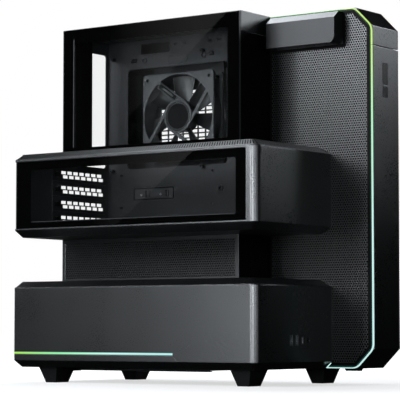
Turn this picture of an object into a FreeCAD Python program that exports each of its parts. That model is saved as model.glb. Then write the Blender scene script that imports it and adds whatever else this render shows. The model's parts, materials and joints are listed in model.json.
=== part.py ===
import FreeCAD, Part
import math
import os
from types import SimpleNamespace

import Sketcher

# Two chamber tower case for an ATX computer, in millimetres.
# x runs from the window side to the closed side, y from the front to the rear, z up from the floor.

SIZES = {
    # whole case
    "case_width": 234,
    "case_depth": 446,
    "case_height": 477,
    "foot_height": 20,
    "slab_thickness": 66,
    "box_overhang": 97,
    "box_setback": 61,
    "core_setback": 154,
    "base_height": 112,
    "recess_height": 58,
    "bay_height": 110,
    "tower_height": 177,
    # sheets, walls and clearances
    "sheet_gauge": 1,
    "shell_wall": 2,
    "panel_gauge": 1.3,
    "glass_gauge": 4,
    "cover_wall": 2,
    "fit_gap": 0.5,
    "slide_gap": 0.3,
    # folded edges of the two boxes
    "fold_run": 16,
    "fold_rise": 9,
    "face_radius": 10,
    "fold_radius": 4,
    # slab outline, light guides and seams
    "slab_chamfer": 25,
    "guide_width": 3,
    "guide_depth": 3,
    "cover_skirt": 50,
    "core_skirt": 27,
    "ceiling_drop": 7,
    "lip_start": 26,
    "lip_length": 20,
    "lip_width": 15,
    "lip_drop": 3,
    # pull tab of the top cover
    "tab_reach": 20,
    "tab_start": 7,
    "tab_length": 104,
    "tab_face": 32,
    "tab_slope_rise": 9,
    "tab_slope_run": 11,
    "tab_drop": 4,
    "tab_radius": 12,
    # glass panes
    "pane_border": 2.3,
    "pane_front_margin": 16,
    "frame_border": 10,
    "post_width": 36,
    "post_depth": 19,
    "post_foot": 16,
    # board, its cut-outs and its holes
    "tray_inset": 29,
    "board_rise": 157,
    "window_drop": 27,
    "window_height": 139,
    "window_margin": 35,
    "window_length": 170,
    "window_radius": 6,
    "standoff_length": 6.5,
    "standoff_radius": 3,
    "standoff_bore": 1.25,
    "column_first": 10.16,
    "column_second": 165.1,
    "column_third": 237.49,
    "row_first": 10.16,
    "row_second": 167.64,
    "row_third": 294.64,
    "io_drop": 4.6,
    "io_length": 158.75,
    "io_width": 44.45,
    "io_radius": 4,
    # cable opening, small holes, tie slots, boss and clips of the tray
    "grommet_drop": 16,
    "grommet_first": 64,
    "grommet_second": 165,
    "grommet_radius": 2.5,
    "hook_column": 24,
    "hook_length": 5,
    "hook_width": 2.5,
    "pin_column": 180,
    "pin_first": 174,
    "pin_second": 219,
    "pin_radius": 1.6,
    "twin_rise": 3,
    "twin_first": 118,
    "twin_second": 134,
    "twin_third": 176,
    "twin_fourth": 191,
    "cable_rear": 58,
    "cable_length": 50,
    "cable_rise": 7,
    "cable_height": 14,
    "tie_drop": 15,
    "tie_first": 46,
    "tie_second": 178,
    "tie_length": 10,
    "tie_width": 5,
    "boss_column": 193,
    "boss_drop": 198.4,
    "boss_radius": 4.5,
    "boss_bore": 2,
    "boss_height": 1.5,
    "clip_column": 46,
    "clip_drop": 192,
    "clip_length": 70,
    "clip_height": 19,
    "clip_lap": 6,
    "clip_block": 9,
    "clip_stand": 4,
    # card slots
    "slot_count": 4,
    "slot_drop": 178,
    "slot_pitch": 20.32,
    "slot_height": 14,
    "slot_length": 95,
    "slot_edge": 4.5,
    "cover_length": 115,
    "cover_height": 18.4,
    "dash_length": 10.4,
    "dash_height": 4.3,
    "dash_pitch": 12.75,
    "dash_row": 5.6,
    "dash_shift": 3.6,
    "dash_margin": 21.6,
    "dash_count": 7,
    "thumb_inset": 8,
    "thumb_radius": 3.6,
    "thumb_head": 4,
    "thumb_shank": 1.7,
    # fan
    "fan_size": 120,
    "fan_depth": 25,
    "fan_rear": 117,
    "fan_rise": 0.5,
    "fan_stand": 5.5,
    "fan_corner": 5,
    "fan_flange": 4,
    "fan_hole_inset": 7.5,
    "fan_hole_radius": 2.2,
    "duct_margin": 2,
    "duct_wall": 1.5,
    "hub_radius": 23.5,
    "strut_count": 4,
    "strut_width": 4.5,
    "strut_depth": 3,
    "strut_lap": 2.5,
    "strut_angle": 35,
    "bearing_radius": 5,
    "bearing_length": 12,
    "shaft_radius": 1.5,
    "rotor_radius": 20.5,
    "rotor_wall": 2,
    "rotor_start": 6,
    "rotor_end": 22,
    "blade_count": 7,
    "blade_tip_gap": 1.2,
    "blade_inset": 1,
    "tip_half_chord": 15,
    "root_half_chord": 7,
    "tip_outer_bow": 32,
    "tip_inner_bow": 40,
    "root_outer_bow": 20,
    "root_inner_bow": 30,
    "bracket_lip": 7,
    "bracket_flange": 8,
    "screw_head_radius": 3.2,
    "screw_head": 2,
    "screw_shank": 1.9,
    # vents
    "vent_rows": 15,
    "vent_columns": 8,
    "vent_row_pitch": 6.1,
    "intake_count": 12,
    "intake_pitch": 10,
    "intake_slot": 5,
    "intake_margin": 7,
    "intake_rear": 30,
    "exhaust_count": 14,
    "exhaust_pitch": 14,
    "exhaust_slot": 6,
    "exhaust_length": 60,
    "exhaust_margin": 18,
    # power supply opening and screws
    "psu_width": 150,
    "psu_height": 86,
    "psu_side": 8,
    "psu_lift": 2,
    "psu_rim": 13,
    "psu_screw_inset": 6,
    "psu_screw_low": 16,
    "psu_screw_inner": 120,
    "psu_screw_radius": 2,
    # base box light strip and trim
    "strip_height": 3.5,
    "strip_lift": 17,
    "strip_length": 259,
    "trim_slant": 14,
    # feet
    "foot_top_length": 38,
    "foot_top_width": 30,
    "foot_low_length": 25,
    "foot_low_width": 17,
    "foot_left": 40,
    "foot_right": 26,
    "foot_rear": 40,
    "foot_front": 100,
    # front sockets
    "socket_lift": 35.6,
    "socket_depth": 14,
    "usb_a_height": 13,
    "usb_a_width": 5.6,
    "usb_a_first": 74.6,
    "usb_a_second": 87.2,
    "usb_c_height": 9,
    "usb_c_width": 3.4,
    "usb_c_place": 99.5,
    "jack_place": 112,
    "jack_radius": 3.5,
    "jack_bore": 1.75,
    "can_wall": 0.5,
    "tongue_gauge": 1.8,
    "board_gauge": 1.6,
    "io_board_height": 24,
    "io_board_margin": 12,
    "boss_post_radius": 3,
    # buttons
    "button_across": 33,
    "button_width": 13,
    "power_drop": 84,
    "power_height": 27,
    "mode_drop": 107,
    "mode_height": 14,
    "button_radius": 3,
    "button_recess": 0.2,
    "button_flange": 1,
    "button_flange_gauge": 1,
    "button_stem": 2.7,
    "button_stem_radius": 2,
    "button_travel": 1.5,
    "switch_height": 2,
    "switch_size": 6,
    "button_board_margin": 8,
    # underside filter
    "filter_foot_gap": 5,
    "filter_slab_gap": 7,
    "filter_length": 270,
    "filter_gauge": 2.5,
    "filter_border": 8,
    "filter_mesh": 0.6,
    "filter_lip": 4,
    "filter_lip_width": 36,
    "rail_gauge": 1.2,
    "rail_lip": 4,
    # drive bracket
    "drive_front": 30,
    "drive_width": 104,
    "drive_low": 10,
    "drive_height": 90,
    "drive_stand": 13,
    "drive_flange": 10,
    "drive_hole_across": 76.6,
    "drive_hole_up": 61.7,
    "drive_hole_radius": 1.7,
}

# Inset of a mitred bend at 45 degrees, for each unit of width.
MITRE = math.sqrt(2) - 1

doc = FreeCAD.newDocument("pc_case")
sheet = doc.addObject("Spreadsheet::Sheet", "size")
for row, (alias, number) in enumerate(SIZES.items(), start=1):
    sheet.set(f"A{row}", alias)
    sheet.set(f"B{row}", str(number))
    sheet.setAlias(f"B{row}", alias)
doc.recompute()


class Formula:
    """A length worked out from the sheet: its expression and its present number."""

    def __init__(self, text, number):
        self.text = text
        self.number = number

    def __add__(self, other):
        other = formula(other)
        return Formula(f"({self.text} + {other.text})", self.number + other.number)

    def __sub__(self, other):
        other = formula(other)
        return Formula(f"({self.text} - {other.text})", self.number - other.number)

    def __mul__(self, factor):
        factor = formula(factor)
        return Formula(f"({self.text} * {factor.text})", self.number * factor.number)

    def __truediv__(self, divisor):
        divisor = formula(divisor)
        return Formula(f"({self.text} / {divisor.text})", self.number / divisor.number)

    def __neg__(self):
        return self * -1


def formula(amount):
    """The amount itself, or a plain number as a formula."""
    if isinstance(amount, Formula):
        return amount
    return Formula(f"({amount})", amount)


S = SimpleNamespace(**{alias: Formula(f"size.{alias}", float(getattr(sheet, alias))) for alias in SIZES})

# Planes that pieces share.
left = -S.case_width / 2
right = S.case_width / 2
front = -S.case_depth / 2
rear = S.case_depth / 2
under = S.foot_height
top = S.case_height
floor = under + S.shell_wall
fold_end = floor + S.fold_rise * S.shell_wall / S.fold_run
rear_inside = rear - S.sheet_gauge
mesh_face = right - S.slab_thickness
mesh_back = mesh_face + S.sheet_gauge
guide_back = mesh_face + S.guide_depth
panel_face = right - S.panel_gauge
window_face = left + S.box_overhang
window_back = window_face + S.glass_gauge
neck_inside = window_face + S.sheet_gauge
box_front = front + S.box_setback
core_front = front + S.core_setback
core_inside = core_front + S.sheet_gauge
# The four tiers share the height between the feet and the top.
tier_stretch = (top - under) / (S.base_height + S.recess_height + S.bay_height + S.tower_height)
base_top = under + S.base_height * tier_stretch
bay_low = base_top + S.recess_height * tier_stretch
bay_top = bay_low + S.bay_height * tier_stretch
seam = top - S.cover_skirt
cover_low = seam + S.fit_gap
core_seam = top - S.core_skirt
cover_under = top - S.cover_wall
ceiling = top - S.ceiling_drop
tray_face = mesh_face + S.tray_inset
tray_back = tray_face + S.sheet_gauge
board_top = bay_top + S.board_rise
board_back = tray_face - S.standoff_length
tray_window_top = board_top - S.window_drop
tray_window_low = tray_window_top - S.window_height
tray_window_rear = rear - S.window_margin
tray_window_front = tray_window_rear - S.window_length
fan_face = tray_back + S.fan_stand
fan_back = fan_face + S.fan_depth
fan_y = rear - S.fan_rear
fan_z = (tray_window_top + tray_window_low) / 2 + S.fan_rise
duct_radius = S.fan_size / 2 - S.duct_margin
tab_front = core_front - S.tab_start - S.tab_length
tab_rear = core_front - S.tab_start
tab_top = top - S.tab_drop
tab_fold = tab_top - S.tab_slope_rise
tab_low = tab_fold - S.tab_face
pane_low = bay_low + S.fold_rise + S.pane_border
pane_high = bay_top - S.fold_rise - S.pane_border
pane_front = box_front + S.pane_front_margin
pane_rear = rear_inside - S.fit_gap
filter_left = left + S.foot_left + S.foot_top_length / 2 + S.filter_foot_gap
filter_right = guide_back - S.filter_slab_gap

parts = []


def bind(item, setting, amount):
    """Tie one property of an object to the sheet."""
    item.setExpression(setting, formula(amount).text)


def sub_part(item, label):
    """Name a finished piece of the case."""
    item.Label = label
    parts.append(item)
    return item


# Drawing on sketches

PLANES = {
    "XY": SimpleNamespace(role="XY_Plane", turn=1),
    "XZ": SimpleNamespace(role="XZ_Plane", turn=-1),
    "YZ": SimpleNamespace(role="YZ_Plane", turn=1),
}


def origin_feature(body, role):
    """A plane or axis of the body's own origin."""
    return next(item for item in body.Origin.OriginFeatures if item.Role == role)


def new_body(label):
    """An empty body for one piece."""
    return sub_part(doc.addObject("PartDesign::Body", label), label)


def tool_body(name):
    """An empty body that later booleans use up."""
    return doc.addObject("PartDesign::Body", name)


def new_sketch(body, plane, level):
    """A sketch across one axis, at a level along that axis."""
    sketch = body.newObject("Sketcher::SketchObject", "Sketch")
    sketch.AttachmentSupport = (origin_feature(body, PLANES[plane].role), [""])
    sketch.MapMode = "FlatFace"
    bind(sketch, "AttachmentOffset.Base.z", formula(level) * PLANES[plane].turn)
    return sketch


def pin(sketch, geometry, point, u, v):
    """Hold one point of a sketch at u, v from the origin."""
    for kind, amount in (("DistanceX", u), ("DistanceY", v)):
        rule = Sketcher.Constraint(kind, -1, 1, geometry, point, formula(amount).number)
        index = sketch.addConstraint(rule)
        sketch.setExpression(f"Constraints[{index}]", formula(amount).text)


def radius_rule(sketch, geometry, amount):
    """Hold the radius of an arc or circle."""
    index = sketch.addConstraint(Sketcher.Constraint("Radius", geometry, formula(amount).number))
    sketch.setExpression(f"Constraints[{index}]", formula(amount).text)


def vector(u, v):
    """A point of a sketch."""
    return FreeCAD.Vector(formula(u).number, formula(v).number, 0)


def add_arc(sketch, first, middle, last):
    """Add an arc through three points; gives its index and which end of it is the first point."""
    turn = (middle - first).cross(last - first).z
    if turn > 0:
        return sketch.addGeometry(Part.Arc(first, middle, last)), 1
    return sketch.addGeometry(Part.Arc(last, middle, first)), 2


def outline(*corners):
    """A closed loop of straight sides; a corner with a third value is rounded to that radius."""
    def draw(sketch):
        count = len(corners)
        points = [vector(*corner[:2]) for corner in corners]
        starts = list(points)
        ends = list(points)
        arcs = {}
        for i, corner in enumerate(corners):
            if len(corner) == 3:
                back = (points[i - 1] - points[i]).normalize()
                ahead = (points[(i + 1) % count] - points[i]).normalize()
                half = back.getAngle(ahead) / 2
                reach = corner[2].number / math.tan(half)
                middle = (back + ahead).normalize()
                bulge = corner[2].number / math.sin(half) - corner[2].number
                ends[i] = points[i] + back * reach
                starts[i] = points[i] + ahead * reach
                arcs[i] = points[i] + middle * bulge
        sides = [sketch.addGeometry(Part.LineSegment(starts[i], ends[(i + 1) % count])) for i in range(count)]
        for i, corner in enumerate(corners):
            before = sides[i - 1]
            after = sides[i]
            if i not in arcs:
                sketch.addConstraint(Sketcher.Constraint("Coincident", before, 2, after, 1))
                pin(sketch, after, 1, *corner)
                continue
            arc, first = add_arc(sketch, ends[i], arcs[i], starts[i])
            sketch.addConstraint(Sketcher.Constraint("Tangent", before, 2, arc, first))
            sketch.addConstraint(Sketcher.Constraint("Tangent", arc, 3 - first, after, 1))
            radius_rule(sketch, arc, corner[2])
            tip = sketch.addGeometry(Part.Point(points[i]), True)
            pin(sketch, tip, 1, *corner[:2])
            sketch.addConstraint(Sketcher.Constraint("PointOnObject", tip, 1, before))
            sketch.addConstraint(Sketcher.Constraint("PointOnObject", tip, 1, after))
    return draw


def rectangle(u, v, radius=None):
    """A rectangle between two u values and two v values, with round corners if a radius is given."""
    corners = [(u[0], v[0]), (u[1], v[0]), (u[1], v[1]), (u[0], v[1])]
    if radius is not None:
        corners = [corner + (radius,) for corner in corners]
    return outline(*corners)


def centred(u, v, width, height, radius=None):
    """A rectangle about a centre."""
    return rectangle((u - width / 2, u + width / 2), (v - height / 2, v + height / 2), radius)


def circle(u, v, radius):
    """A circle about a centre."""
    def draw(sketch):
        ring = Part.Circle(vector(u, v), FreeCAD.Vector(0, 0, 1), formula(radius).number)
        index = sketch.addGeometry(ring)
        pin(sketch, index, 3, u, v)
        radius_rule(sketch, index, radius)
    return draw


def crescent(start, end, outer_bow, inner_bow):
    """A blade section: two arcs of unlike radius between the same two edges."""
    def draw(sketch):
        first = vector(*start)
        last = vector(*end)
        chord = last - first
        aside = FreeCAD.Vector(-chord.y, chord.x, 0).normalize()
        for bow in (outer_bow, inner_bow):
            rise = bow.number - math.sqrt(bow.number ** 2 - (chord.Length / 2) ** 2)
            arc, begin = add_arc(sketch, first, (first + last) / 2 + aside * rise, last)
            pin(sketch, arc, begin, *start)
            pin(sketch, arc, 3 - begin, *end)
            radius_rule(sketch, arc, bow)
    return draw


# Features of a body

def draw_on(sketch, loops):
    """Draw every loop on the sketch."""
    for loop in loops:
        loop(sketch)
    return sketch


def prism(body, plane, low, high, *loops):
    """Add the loops as a solid between two levels."""
    level = low if PLANES[plane].turn > 0 else high
    pad = body.newObject("PartDesign::Pad", "Pad")
    pad.Profile = draw_on(new_sketch(body, plane, level), loops)
    bind(pad, "Length", formula(high) - low)
    return pad


def opening(body, plane, low, high, *loops):
    """Take the loops out of the solid between two levels."""
    level = high if PLANES[plane].turn > 0 else low
    pocket = body.newObject("PartDesign::Pocket", "Pocket")
    pocket.Profile = draw_on(new_sketch(body, plane, level), loops)
    bind(pocket, "Length", formula(high) - low)
    return pocket


def row_of(body, feature, axis, pitch, count, second=None, backwards=False):
    """Repeat a feature along one axis, or along two as a field."""
    pattern = body.newObject("PartDesign::LinearPattern", "Pattern")
    pattern.Originals = [feature]
    pattern.Direction = (origin_feature(body, axis), [""])
    pattern.Reversed = backwards
    pattern.Mode = "Spacing"
    bind(pattern, "Offset", pitch)
    bind(pattern, "Occurrences", count)
    if second:
        pattern.Direction2 = (origin_feature(body, second[0]), [""])
        pattern.Mode2 = "Spacing"
        bind(pattern, "Offset2", second[1])
        bind(pattern, "Occurrences2", second[2])
    body.Tip = pattern
    return pattern


def ring_of(body, feature, count):
    """Repeat a feature about the x axis."""
    pattern = body.newObject("PartDesign::PolarPattern", "Pattern")
    pattern.Originals = [feature]
    pattern.Axis = (origin_feature(body, "X_Axis"), [""])
    bind(pattern, "Occurrences", count)
    body.Tip = pattern
    return pattern


# Plain solids and booleans

def block(x, y, z):
    """A block between two planes on each axis."""
    item = doc.addObject("Part::Box", "Block")
    for setting, axis, (low, high) in (("Length", "x", x), ("Width", "y", y), ("Height", "z", z)):
        bind(item, setting, formula(high) - low)
        bind(item, f"Placement.Base.{axis}", low)
    return item


AXIS_TURNS = {
    "x": FreeCAD.Rotation(FreeCAD.Vector(0, 1, 0), 90),
    "y": FreeCAD.Rotation(FreeCAD.Vector(1, 0, 0), -90),
    "z": FreeCAD.Rotation(),
}


def place(item, x, y, z):
    """Tie the place of a solid to the sheet."""
    for axis, amount in (("x", x), ("y", y), ("z", z)):
        bind(item, f"Placement.Base.{axis}", amount)
    return item


def rod(axis, radius, length, x, y, z):
    """A round bar that starts at a point and runs along one axis."""
    item = doc.addObject("Part::Cylinder", "Rod")
    item.Placement = FreeCAD.Placement(FreeCAD.Vector(), AXIS_TURNS[axis])
    bind(item, "Radius", radius)
    bind(item, "Height", length)
    return place(item, x, y, z)


def hexagon(axis, radius, length, x, y, z):
    """A six sided bar that starts at a point and runs along one axis."""
    item = doc.addObject("Part::Prism", "Hexagon")
    item.Polygon = 6
    item.Placement = FreeCAD.Placement(FreeCAD.Vector(), AXIS_TURNS[axis])
    bind(item, "Circumradius", radius)
    bind(item, "Height", length)
    return place(item, x, y, z)


def cut(base, tool):
    """The base without the tool."""
    item = doc.addObject("Part::Cut", "Cut")
    item.Base = base
    item.Tool = tool
    return item


def common(base, tool):
    """What the base and the tool share."""
    item = doc.addObject("Part::Common", "Common")
    item.Base = base
    item.Tool = tool
    return item


def fuse(*items):
    """Several solids as one."""
    item = doc.addObject("Part::MultiFuse", "Fuse")
    item.Shapes = list(items)
    return item


def group(*items):
    """Several separate solids in one piece."""
    item = doc.addObject("Part::Compound", "Group")
    item.Links = list(items)
    return item


# The two folded boxes

def box_plan(inset, fold, radius):
    """Plan of a box at one height, set in by its wall and by its folded edge."""
    return outline(
        (mesh_face + inset, box_front + inset + fold),
        (mesh_face + inset, rear + inset),
        (left + inset + fold, rear + inset),
        (left + inset + fold, box_front + inset + fold, radius),
    )


def loft_box(body, kind, low, high, inset):
    """Loft a box through its four plans, with both long edges folded in."""
    plans = [
        (low, S.fold_run, S.fold_radius),
        (low + S.fold_rise, formula(0), S.face_radius),
        (high - S.fold_rise, formula(0), S.face_radius),
        (high, S.fold_run, S.fold_radius),
    ]
    sketches = [
        draw_on(new_sketch(body, "XY", level), [box_plan(inset, fold, radius)])
        for level, fold, radius in plans
    ]
    loft = body.newObject(kind, "Loft")
    loft.Profile = sketches[0]
    loft.Sections = sketches[1:]
    loft.Ruled = True
    return loft


def folded_box(body, low, high):
    """Thin box that is open at the rear and towards the slab."""
    loft_box(body, "PartDesign::AdditiveLoft", low, high, formula(0))
    loft_box(body, "PartDesign::SubtractiveLoft", low + S.shell_wall, high - S.shell_wall, S.shell_wall)


def make_base_box():
    """Base box: shell, the trim below its light strip, and the strip."""
    shell = tool_body("base_box")
    folded_box(shell, under, base_top)
    opening(shell, "XY", base_top - S.shell_wall, base_top, rectangle((neck_inside, mesh_face), (core_inside, rear)))
    opening(shell, "XY", under, fold_end, rectangle(
        (left + S.fold_run, mesh_face), (box_front + S.fold_run, rear)))
    socket_z = under + S.socket_lift
    inner_front = box_front + S.shell_wall
    holes = [
        centred(left + place_x, socket_z, width + S.slide_gap * 2, height + S.slide_gap * 2)
        for place_x, width, height in (
            (S.usb_a_first, S.usb_a_width, S.usb_a_height),
            (S.usb_a_second, S.usb_a_width, S.usb_a_height),
            (S.usb_c_place, S.usb_c_width, S.usb_c_height),
        )
    ]
    opening(shell, "XZ", box_front, inner_front, *holes,
            circle(left + S.jack_place, socket_z, S.jack_radius + S.slide_gap))
    posts = [circle(left + x, socket_z, S.boss_post_radius) for x in io_board_posts()]
    prism(shell, "XZ", inner_front, box_front + S.socket_depth, *posts)

    strip_low = under + S.strip_lift
    strip_high = strip_low + S.strip_height
    strip_front = rear - S.strip_length
    strip = block((left, left + S.shell_wall), (strip_front, rear), (strip_low, strip_high))
    trim_tool = tool_body("trim_outline")
    prism(trim_tool, "YZ", left - S.shell_wall, left + S.fold_run, outline(
        (rear + S.shell_wall, under - S.shell_wall),
        (rear + S.shell_wall, strip_low),
        (strip_front, strip_low),
        (strip_front - S.trim_slant, under + S.fold_rise / 2),
        (strip_front - S.trim_slant, under - S.shell_wall),
    ))
    sub_part(cut(shell, fuse(trim_tool, strip)), "base_shell")
    sub_part(common(shell, trim_tool), "base_trim")
    strip_copy = block((left, left + S.shell_wall), (strip_front, rear), (strip_low, strip_high))
    sub_part(strip_copy, "base_light_strip")


def make_bay():
    """Card bay: shell with its window, the frame behind the pane, and the pane."""
    shell = new_body("bay_shell")
    folded_box(shell, bay_low, bay_top)
    opening(shell, "XY", bay_top - S.shell_wall, bay_top, rectangle((window_back, mesh_face), (core_inside, rear)))
    opening(shell, "XY", bay_low, bay_low + S.shell_wall, rectangle((neck_inside, mesh_face), (core_inside, rear)))
    opening(shell, "YZ", left, left + S.shell_wall, rectangle(
        (pane_front - S.slide_gap, rear), (pane_low - S.slide_gap, pane_high + S.slide_gap)))

    pane_back = left + S.glass_gauge
    frame_low = bay_low + S.fold_rise + S.sheet_gauge
    frame_high = bay_top - S.fold_rise - S.sheet_gauge
    frame = new_body("bay_glass_frame")
    prism(frame, "YZ", pane_back, pane_back + S.sheet_gauge,
          rectangle((pane_front, rear_inside), (frame_low, frame_high)),
          rectangle((pane_front + S.frame_border, rear_inside - S.frame_border),
                    (frame_low + S.frame_border, frame_high - S.frame_border), S.fold_radius))
    pane = new_body("bay_glass")
    prism(pane, "YZ", left, pane_back, rectangle((pane_front, pane_rear), (pane_low, pane_high)))


# Chassis sheets

def make_rear_panel():
    """Rear wall of every chamber, with its board, card and power supply openings."""
    inner_left = left + S.shell_wall
    fold_left = inner_left + S.fold_run
    plate_edge = left + S.fold_run
    base_high = base_top - S.shell_wall
    bay_floor = bay_low + S.shell_wall
    bay_ceiling = bay_top - S.shell_wall
    panel = new_body("rear_panel")
    prism(panel, "XZ", rear_inside, rear, outline(
        (panel_face, under),
        (plate_edge, under),
        (plate_edge, fold_end),
        (inner_left, floor + S.fold_rise),
        (inner_left, base_high - S.fold_rise),
        (fold_left, base_high),
        (neck_inside, base_high),
        (neck_inside, bay_floor),
        (fold_left, bay_floor),
        (inner_left, bay_floor + S.fold_rise),
        (inner_left, bay_ceiling - S.fold_rise),
        (fold_left, bay_ceiling),
        (window_back, bay_ceiling),
        (window_back, cover_under),
        (panel_face, cover_under),
    ))
    io_top = board_top - S.io_drop
    psu_left = left + S.psu_side
    psu_low = floor + S.psu_lift
    opening(panel, "XZ", rear_inside, rear,
            rectangle((board_back - S.io_width, board_back), (io_top - S.io_length, io_top), S.io_radius),
            rectangle((psu_left + S.psu_rim, psu_left + S.psu_width - S.psu_rim),
                      (psu_low + S.psu_rim, psu_low + S.psu_height - S.psu_rim), S.io_radius))
    high = psu_low + S.psu_height - S.psu_screw_inset
    screws = [
        (psu_left + S.psu_screw_inset, high),
        (psu_left + S.psu_width - S.psu_screw_inset, high),
        (psu_left + S.psu_screw_inset, psu_low + S.psu_screw_low),
        (psu_left + S.psu_screw_inner, psu_low + S.psu_screw_inset),
    ]
    opening(panel, "XZ", rear_inside, rear, *[circle(x, z, S.psu_screw_radius) for x, z in screws])
    cover_right = board_back
    slot_right = cover_right - S.slot_edge
    slot_z = board_top - S.slot_drop
    thumb_x = cover_right - S.cover_length + S.thumb_inset
    slot = opening(panel, "XZ", rear_inside, rear,
                   rectangle((slot_right - S.slot_length, slot_right),
                             (slot_z - S.slot_height / 2, slot_z + S.slot_height / 2)),
                   circle(thumb_x, slot_z, S.thumb_shank + S.slide_gap))
    row_of(panel, slot, "Z_Axis", S.slot_pitch, S.slot_count, backwards=True)


def make_tray():
    """Board tray: one sheet folded at its front edge, with cut-outs for cooler, ties and clips."""
    tray = new_body("motherboard_tray")
    prism(tray, "XY", base_top, ceiling, outline(
        (tray_face, rear_inside),
        (tray_face, core_inside),
        (mesh_back, core_inside),
        (mesh_back, core_front),
        (tray_back, core_front),
        (tray_back, rear_inside),
    ))
    boss_y = rear - S.boss_column
    boss_z = board_top - S.boss_drop
    prism(tray, "YZ", tray_face - S.boss_height, tray_face, circle(boss_y, boss_z, S.boss_radius))
    cable_top = board_top + S.cable_rise
    ties = [
        centred(rear - column, board_top - S.tie_drop, S.tie_length, S.tie_width)
        for column in (S.tie_first, S.tie_second)
    ]
    opening(tray, "YZ", tray_face - S.boss_height, tray_back,
            rectangle((tray_window_front, tray_window_rear), (tray_window_low, tray_window_top), S.window_radius),
            rectangle((rear - S.cable_rear - S.cable_length, rear - S.cable_rear),
                      (cable_top - S.cable_height, cable_top), S.boss_bore),
            rectangle(clip_y(), clip_z(), S.boss_bore),
            circle(boss_y, boss_z, S.boss_bore),
            *ties)
    opening(tray, "YZ", tray_face, tray_back, *tray_holes())


def tray_holes():
    """Small holes of the tray: grommet holes, pin holes, hook slots and the twin slots along its top."""
    holes = [
        circle(rear - column, board_top - S.grommet_drop, S.grommet_radius)
        for column in (S.grommet_first, S.grommet_second)
    ]
    for drop in (S.pin_first, S.pin_second):
        holes.append(circle(rear - S.pin_column, board_top - drop, S.pin_radius))
        holes.append(centred(rear - S.hook_column, board_top - drop, S.hook_length, S.hook_width))
    for column in (S.twin_first, S.twin_second, S.twin_third, S.twin_fourth):
        holes.append(centred(rear - column, board_top + S.twin_rise, S.hook_length, S.hook_width))
    return holes


def clip_y():
    """Clip window of the tray, front and rear."""
    return rear - S.clip_column - S.clip_length, rear - S.clip_column


def clip_z():
    """Clip window of the tray, low and high."""
    return board_top - S.clip_drop - S.clip_height, board_top - S.clip_drop


def make_tray_clips():
    """Plate behind the clip window, with two cable clips that stand through it."""
    y_low, y_high = clip_y()
    z_low, z_high = clip_z()
    lap = S.clip_lap
    clips = new_body("tray_clips")
    prism(clips, "YZ", tray_back, tray_back + S.sheet_gauge, rectangle((y_low - lap, y_high + lap),
                                                                      (z_low - lap, z_high + lap), lap))
    middle = (z_low + z_high) / 2
    quarter = S.clip_length / 4
    prism(clips, "YZ", tray_back - S.clip_stand, tray_back,
          centred(y_low + quarter, middle, S.clip_block, S.clip_block),
          centred(y_high - quarter, middle, S.clip_block, S.clip_block))


def exhaust_slot():
    """Rearmost slot of the row that lets warm air out of the tower."""
    return centred((window_back + tray_face) / 2, rear - S.exhaust_margin - S.exhaust_slot,
                   S.exhaust_length, S.exhaust_slot)


def make_plates():
    """Flat sheets of the chassis: floor, ceiling, tower and neck walls."""
    base = new_body("base_plate")
    plate_left = left + S.fold_run
    prism(base, "XY", under, floor, rectangle((plate_left, guide_back), (box_front + S.fold_run, rear_inside)))
    intake_y = rear - S.intake_rear
    intake = opening(base, "XY", under, floor, rectangle(
        (filter_left + S.intake_margin, filter_right - S.intake_margin),
        (intake_y - S.intake_slot / 2, intake_y + S.intake_slot / 2)))
    row_of(base, intake, "Y_Axis", S.intake_pitch, S.intake_count, backwards=True)

    roof = new_body("top_plate")
    prism(roof, "XY", ceiling, ceiling + S.sheet_gauge, rectangle(
        (window_back, right - S.cover_wall - S.fit_gap), (core_inside, rear_inside)))
    vent = opening(roof, "XY", ceiling, ceiling + S.sheet_gauge, exhaust_slot())
    row_of(roof, vent, "Y_Axis", S.exhaust_pitch, S.exhaust_count, backwards=True)

    tower_front = new_body("tower_front_panel")
    prism(tower_front, "XZ", core_front, core_inside, rectangle((window_back, mesh_face), (bay_top, core_seam)))
    neck_front = new_body("neck_front_panel")
    prism(neck_front, "XZ", core_front, core_inside, rectangle((window_face, mesh_face), (base_top, bay_low)))
    recess = new_body("recess_mesh_panel")
    prism(recess, "YZ", window_face, neck_inside, rectangle((core_inside, rear), (base_top, bay_low)))


def make_posts():
    """Two folded posts that carry the tower pane."""
    gauge = S.sheet_gauge
    inner = window_back + gauge
    far = window_back + S.post_width
    foot = window_back + S.post_foot
    for label, wall, step in (("rear_post", rear_inside, -1), ("front_post", core_inside, 1)):
        post = new_body(label)
        reach = wall + S.post_depth * step
        prism(post, "XY", bay_top, ceiling, outline(
            (window_back, wall),
            (window_back, reach),
            (far, reach),
            (far, reach - gauge * step),
            (inner, reach - gauge * step),
            (inner, wall + gauge * step),
            (foot, wall + gauge * step),
            (foot, wall),
        ))


def make_tower_glass():
    """Pane over the whole side of the tower."""
    pane = new_body("tower_glass")
    prism(pane, "YZ", window_face, window_back, rectangle(
        (core_front, rear), (bay_top + S.fit_gap, top - S.fit_gap * 2)))


# Slab

def lower_bend(inset):
    """Chamfered lower front corner of the slab, set in by a width."""
    return [
        (front + inset, under + S.slab_chamfer + inset * MITRE),
        (front + S.slab_chamfer + inset * MITRE, under + inset),
    ]


def upper_bend(inset):
    """Chamfered upper front corner of the slab, set in by a width."""
    return [
        (front + inset, top - S.slab_chamfer - inset * MITRE),
        (front + S.slab_chamfer + inset * MITRE, top - inset),
    ]


def button_places():
    """Height of each button's centre, with its height."""
    return [
        ("power_button", top - S.power_drop, S.power_height),
        ("mode_button", top - S.mode_drop, S.mode_height),
    ]


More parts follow.
